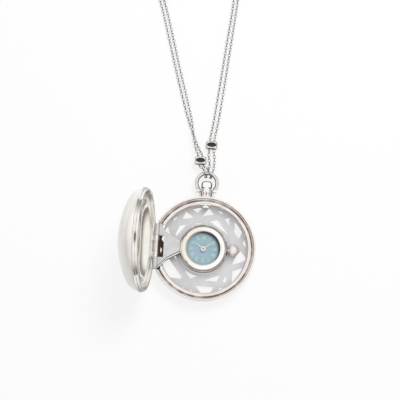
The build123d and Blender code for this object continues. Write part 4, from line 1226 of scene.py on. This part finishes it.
looks, ownLooks = makeLooks(slotFinishes), makeLooks(pieceFinishes, "_finish")
for name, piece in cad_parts.items():
    slot = piece.data.materials[0].name.split(".")[0]
    piece.data.materials[0] = ownLooks.get(name) or looks[slot]
for piece in strands.values():
    piece.data.materials.append(looks["chain_silver"])
dialNumerals.data.materials.append(numeralPrint("numeral_print"))
print(len(looks) + len(ownLooks), "finishes made")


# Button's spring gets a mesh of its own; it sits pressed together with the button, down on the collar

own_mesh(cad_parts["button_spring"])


# Floor, world and lamp

studio = dict(
    floor=(0.9, 0.9, 0.9),
    floorShare=0.20,  # of the lit floor in what the camera sees of it, the rest is plain white
    floorHalf=800.0,
    white=(1.0, 1.0, 1.0),
    sky=(0.62, 0.62, 0.62),  # the light that the world gives
    mirrored=[  # what polished metal mirrors of the world, from straight down to straight up
        (0.0, (0.55, 0.52, 0.50)), (0.50, (0.08, 0.06, 0.05)), (0.60, (0.16, 0.13, 0.115)),
        (0.70, (0.70, 0.67, 0.65)), (0.80, (1.0, 0.99, 0.98)), (1.0, (1.0, 0.995, 0.99)),
    ],
    key=1.25,  # watts
    keyPlace=(110.0, 240.0, 430.0),
    keySize=220.0,
    keyAim=(0.0, 5.0, 0.0),
)


def seenBy(look, *rays):
    # 1 for the rays that are named
    return sum(look.node("LightPath", out=ray) for ray in rays)


def makeFloor():
    # a square that is lit for the object's light, and nearly white where it is seen or mirrored
    half = studio["floorHalf"]
    corners = [(-half, -half, 0), (half, -half, 0), (half, half, 0), (-half, half, 0)]
    floor = meshObject("floor", corners, [[0, 1, 2, 3]], smooth=False)
    look = newLook("floor")
    lit = look.node("BsdfDiffuse", values={"Color": (*studio["floor"], 1.0)})
    plain = look.node("Emission", values={"Color": (*studio["white"], 1.0), "Strength": 1.0})
    seen = seenBy(look, "Is Camera Ray", "Is Glossy Ray", "Is Transmission Ray")
    share = seen * (1 - studio["floorShare"])
    mixed = look.node("MixShader", values={0: share, 1: lit, 2: plain})
    look.node("OutputMaterial", values={"Surface": mixed})
    floor.data.materials.append(look.owner)


def makeWorld():
    # even light, a banded sky in polished metal, and plain white behind the object
    world = bpy.data.worlds.new("studio")
    bpy.context.scene.world = world
    look = Look(world)
    height = look.axes(look.node("TexCoord", out="Generated"))[2]
    band = look.node("ValToRGB", values={"Fac": height.asShare()})
    stops = band.socket.node.color_ramp.elements
    while len(stops) < len(studio["mirrored"]):
        stops.new(1.0)
    for stop, (place, tint) in zip(stops, studio["mirrored"]):
        stop.position, stop.color = place, (*tint, 1.0)
    colour = look.blend(seenBy(look, "Is Glossy Ray"), studio["sky"], band)
    colour = look.blend(seenBy(look, "Is Camera Ray"), colour, studio["white"])
    back = look.node("Background", values={"Color": colour, "Strength": 1.0})
    look.node("OutputWorld", values={"Surface": back})


def makeKey():
    # one round lamp above and beyond 12 o'clock that polished metal doesn't mirror
    lamp = bpy.data.lights.new("key", "AREA")
    lamp.shape, lamp.size, lamp.energy = "DISK", studio["keySize"] * mm, studio["key"]
    seat = bpy.data.objects.new("key", lamp)
    back = unit(np.array(studio["keyPlace"]) - np.array(studio["keyAim"]))
    side = unit(np.cross([0.0, 1.0, 0.0], back))
    standAt(seat, studio["keyPlace"], side, np.cross(back, side), back)
    seat.visible_glossy = False


makeFloor()
makeWorld()
makeKey()
print("studio made")
